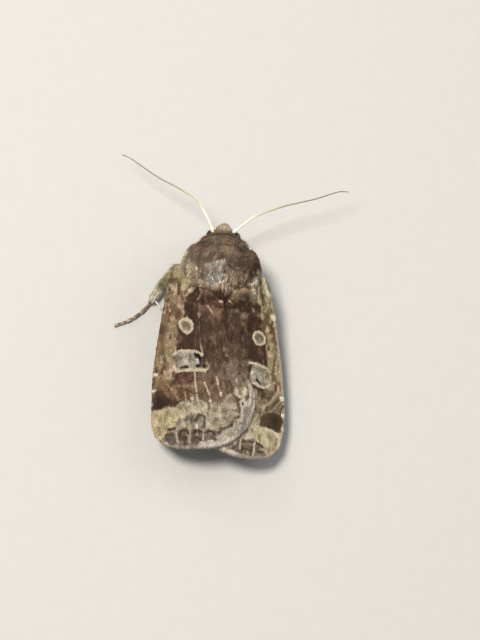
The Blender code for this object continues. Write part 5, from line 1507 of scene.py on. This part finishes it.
scale = blade("wing_scale", SCALE_OUTLINE, 2.2)
wing_finish = tinted_finish("wing_scales", 0.62, 0.05, 0.003, sheen=0.03, specular=0.14, spread=0.06)
membrane_finish = tinted_finish("wing_membrane", 0.65, 0.1, 0.015, sheen=0.1, spread=0.08)
for side, label in ((-1, "left"), (1, "right")):
    edges_of_wing = (FRONT_EDGES[side], OUTER_EDGES[side], INNER_EDGE, ROOT_EDGE)
    reach = 1 - FRINGE / WING_LENGTH

    def on_wing(flat, side=side):
        return forewing_at(side, flat)

    mesh, _, _ = sheet_mesh(f"forewing_membrane_{label}", edges_of_wing, on_wing, (84, 48),
                            ((0, reach), (0, 1)))
    bed = mesh.copy()
    unwrap_wing(bed)
    s = get_values(bed, "span")[:, 0]
    long_at_root = 1 + 0.9 * (1 - ramp(s, 1.5, 4.0))
    for half, kept in (("inner", s < PARTED_AT), ("outer", s >= PARTED_AT)):
        half_bed = bed.copy()
        set_lie(half_bed, get_values(bed, "lie"), get_values(bed, "thick")[:, 0] * kept, long_at_root, 1.0)
        scales = grown(half_bed, coat_tree, template=scale, finish=wing_finish, least_gap=0.035,
                       density=660.0, length=0.235, width=0.092, thickness=0.009, lift=0.17, scatter=0.13,
                       seed=71 + side)
        s, t, _ = get_values(scales, "span").T
        finish_coat(scales, wing_colours(s + 0.13, t, side), 0.1)
        settle(f"forewing_{half}_scales_{label}", scales, wing_finish, "forewing")
    hair_bed = mesh.copy()
    unwrap_wing(hair_bed)
    s, t, _ = get_values(hair_bed, "span").T
    near_edge = 1 - ramp(gap_from(s, t, INNER_EDGE), 0.15, 0.8)
    thrown_over = get_values(hair_bed, "lie") + (0.25 - 0.3 * near_edge)[:, None] * side * across
    covered = ramp(t, 1.15, 1.5) * (1 - ramp(s + 0.35 * patches(t, t * 0, 0.5, 12), 1.6, 2.0))
    set_lie(hair_bed, unit(thrown_over), get_values(hair_bed, "thick")[:, 0] * covered,
            1 - 0.25 * ramp(s, 1.0, 1.8), 1.0)
    root_hair = grown(hair_bed, coat_tree, template=hair, finish=tuft_finish, least_gap=0.036, density=480.0,
                      length=0.78, width=0.078, thickness=0.022, lift=0.18, scatter=0.26, seed=61 + side)
    finish_coat(root_hair, body_colours(get_values(root_hair, "root")), 0.14)
    settle(f"forewing_root_hair_{label}", root_hair, tuft_finish, "thorax_coat")
    fringe_bed, v, flat = sheet_mesh(f"fringe_bed_{label}", edges_of_wing, on_wing, (3, 140),
                                     ((reach - 0.01, reach), (0, 1)))
    outer = sheet_points(edges_of_wing, np.ones(len(v)), v)
    way = on_wing(outer) - on_wing(flat)
    reached = np.linalg.norm(way, axis=1)
    unwrap_wing(fringe_bed)
    set_lie(fringe_bed, np.tile(unit(way), (2, 1)), get_values(fringe_bed, "thick")[:, 0],
            np.tile(reached / FRINGE, 2), 1.0)
    fringe = grown(fringe_bed, coat_tree, template=hair, finish=wing_finish, least_gap=0.016, density=2600.0,
                   length=FRINGE * 0.98, width=0.055, thickness=0.012, lift=0.05, scatter=0.1, seed=81 + side)
    colours = fringe_colours(get_values(fringe, "span"), get_values(fringe, "patch")[:, 0])
    finish_coat(fringe, colours, 0.12)
    settle(f"forewing_fringe_{label}", fringe, wing_finish, "forewing")
    s, t, _ = get_values(mesh, "span").T
    top = get_values(mesh, "thick")[:, 0][:, None]
    set_tint(mesh, wing_colours(s, t, side) * 0.85 * top + underside_colours(s, t) * (1 - top))
    settle(f"forewing_membrane_{label}", mesh, membrane_finish, "forewing", f"forewing_{label}")

# The hindwings.
# A softer, rounder pair, folded flat between the forewings and the abdomen. They are thin grey-brown
# membrane, sparsely scaled, darker to the edge, with a pale fringe.
HIND_DROP = -1.02
HIND_FRONT = ((3.1, -1.9), (4.2, -4), (4.75, -8.5), (4.75, -12))
HIND_OUTER = ((4.75, -12), (4, -13.6), (2.2, -14.2), (0.25, -13.3))
HIND_INNER = ((1.6, -2.6), (0.45, -4.6), (0.25, -8.5), (0.25, -13.3))
HIND_ROOT = ((3.1, -1.9), (2.3, -2.2), (1.6, -2.6))
HIND_MIDDLE = -0.34
HIND_REACH, HIND_FRINGE = 0.955, 0.55


def hindwing_at(side, flat):
    x, y = side * flat[:, 0] + HIND_MIDDLE, flat[:, 1]
    folds = 0.05 * np.cos(flat[:, 0] / 0.62 * math.tau) * ramp(-y, 4, 8)
    return laid_out(np.column_stack((x, y, roof_height(x, y) + HIND_DROP - SCALE_ROOM + folds)))


def hindwing_colours(x, y):
    paint = Paint(len(x), 160, 149, 132)
    paint.lay(116, 103, 90, ramp(-y, 10.2, 12.6) * 0.85)
    paint.lay(126, 112, 96, 0.6 * oval(x, y, (2.6, -8.2), (0.35, 0.6), 0, 0.5))
    for start, end in (((2.6, -3), (4.2, -12.4)), ((2.3, -3), (3.2, -13.2)), ((2.0, -3), (2.2, -13.5)),
                       ((1.7, -3), (1.2, -13.3)), ((1.6, -3), (0.5, -12))):
        paint.lay(116, 100, 84, 0.6 * stripe(x, y, (start, end), 0.1, 0.1))
    paint.shade(1 + 0.08 * patches(x, y / 2, 0.3, 14))
    return paint.colour


for side, label in ((-1, "left"), (1, "right")):
    edges_of_wing = (HIND_FRONT, HIND_OUTER, HIND_INNER, HIND_ROOT)

    def on_wing(flat, side=side):
        return hindwing_at(side, flat)

    mesh, _, flat = sheet_mesh(f"hindwing_membrane_{label}", edges_of_wing, on_wing, (64, 40),
                               ((0, HIND_REACH), (0, 1)))
    ahead_way = unit(on_wing(flat + (0, -0.05)) - on_wing(flat))
    for name, template in (("scales", scale), ("fringe", hair)):
        if name == "scales":
            bed, way, long, flat_here = mesh.copy(), ahead_way, 1.0, flat
            shape_of = dict(least_gap=0.075, density=110.0, length=0.26, width=0.12,
                            thickness=0.01, lift=0.1, scatter=0.15)
        else:
            bed, v_here, flat_here = sheet_mesh("fringe_bed", edges_of_wing, on_wing, (3, 100),
                                                ((HIND_REACH - 0.01, HIND_REACH), (0, 1)))
            way = on_wing(sheet_points(edges_of_wing, np.ones(len(v_here)), v_here)) - on_wing(flat_here)
            long = np.tile(np.linalg.norm(way, axis=1) / HIND_FRINGE, 2)
            way = unit(way)
            shape_of = dict(least_gap=0.018, density=2000.0, length=0.54, width=0.055,
                            thickness=0.012, lift=0.04, scatter=0.1)
        set_unwrap(bed, np.tile((flat_here + (0, 14.5)) / (5.2, 13.0), (2, 1)))
        set_lie(bed, np.tile(way, (2, 1)), get_values(bed, "thick")[:, 0], long, 1.0)
        coat = grown(bed, coat_tree, template=template, finish=wing_finish, seed=91 + side, **shape_of)
        x, y, _ = get_values(coat, "span").T
        colours = hindwing_colours(x, y)
        if name == "fringe":
            colours = colours * 0.3 + rgb(178, 166, 148) * 0.7
        finish_coat(coat, colours, 0.08)
        settle(f"hindwing_{name}_{label}", coat, wing_finish, "hindwing")
    x, y, _ = get_values(mesh, "span").T
    set_tint(mesh, hindwing_colours(x, y) * 0.95)
    settle(f"hindwing_membrane_{label}", mesh, membrane_finish, "hindwing", f"hindwing_{label}")

for template in (hair, scale, joint, spur, claw):
    bpy.data.objects.remove(template)
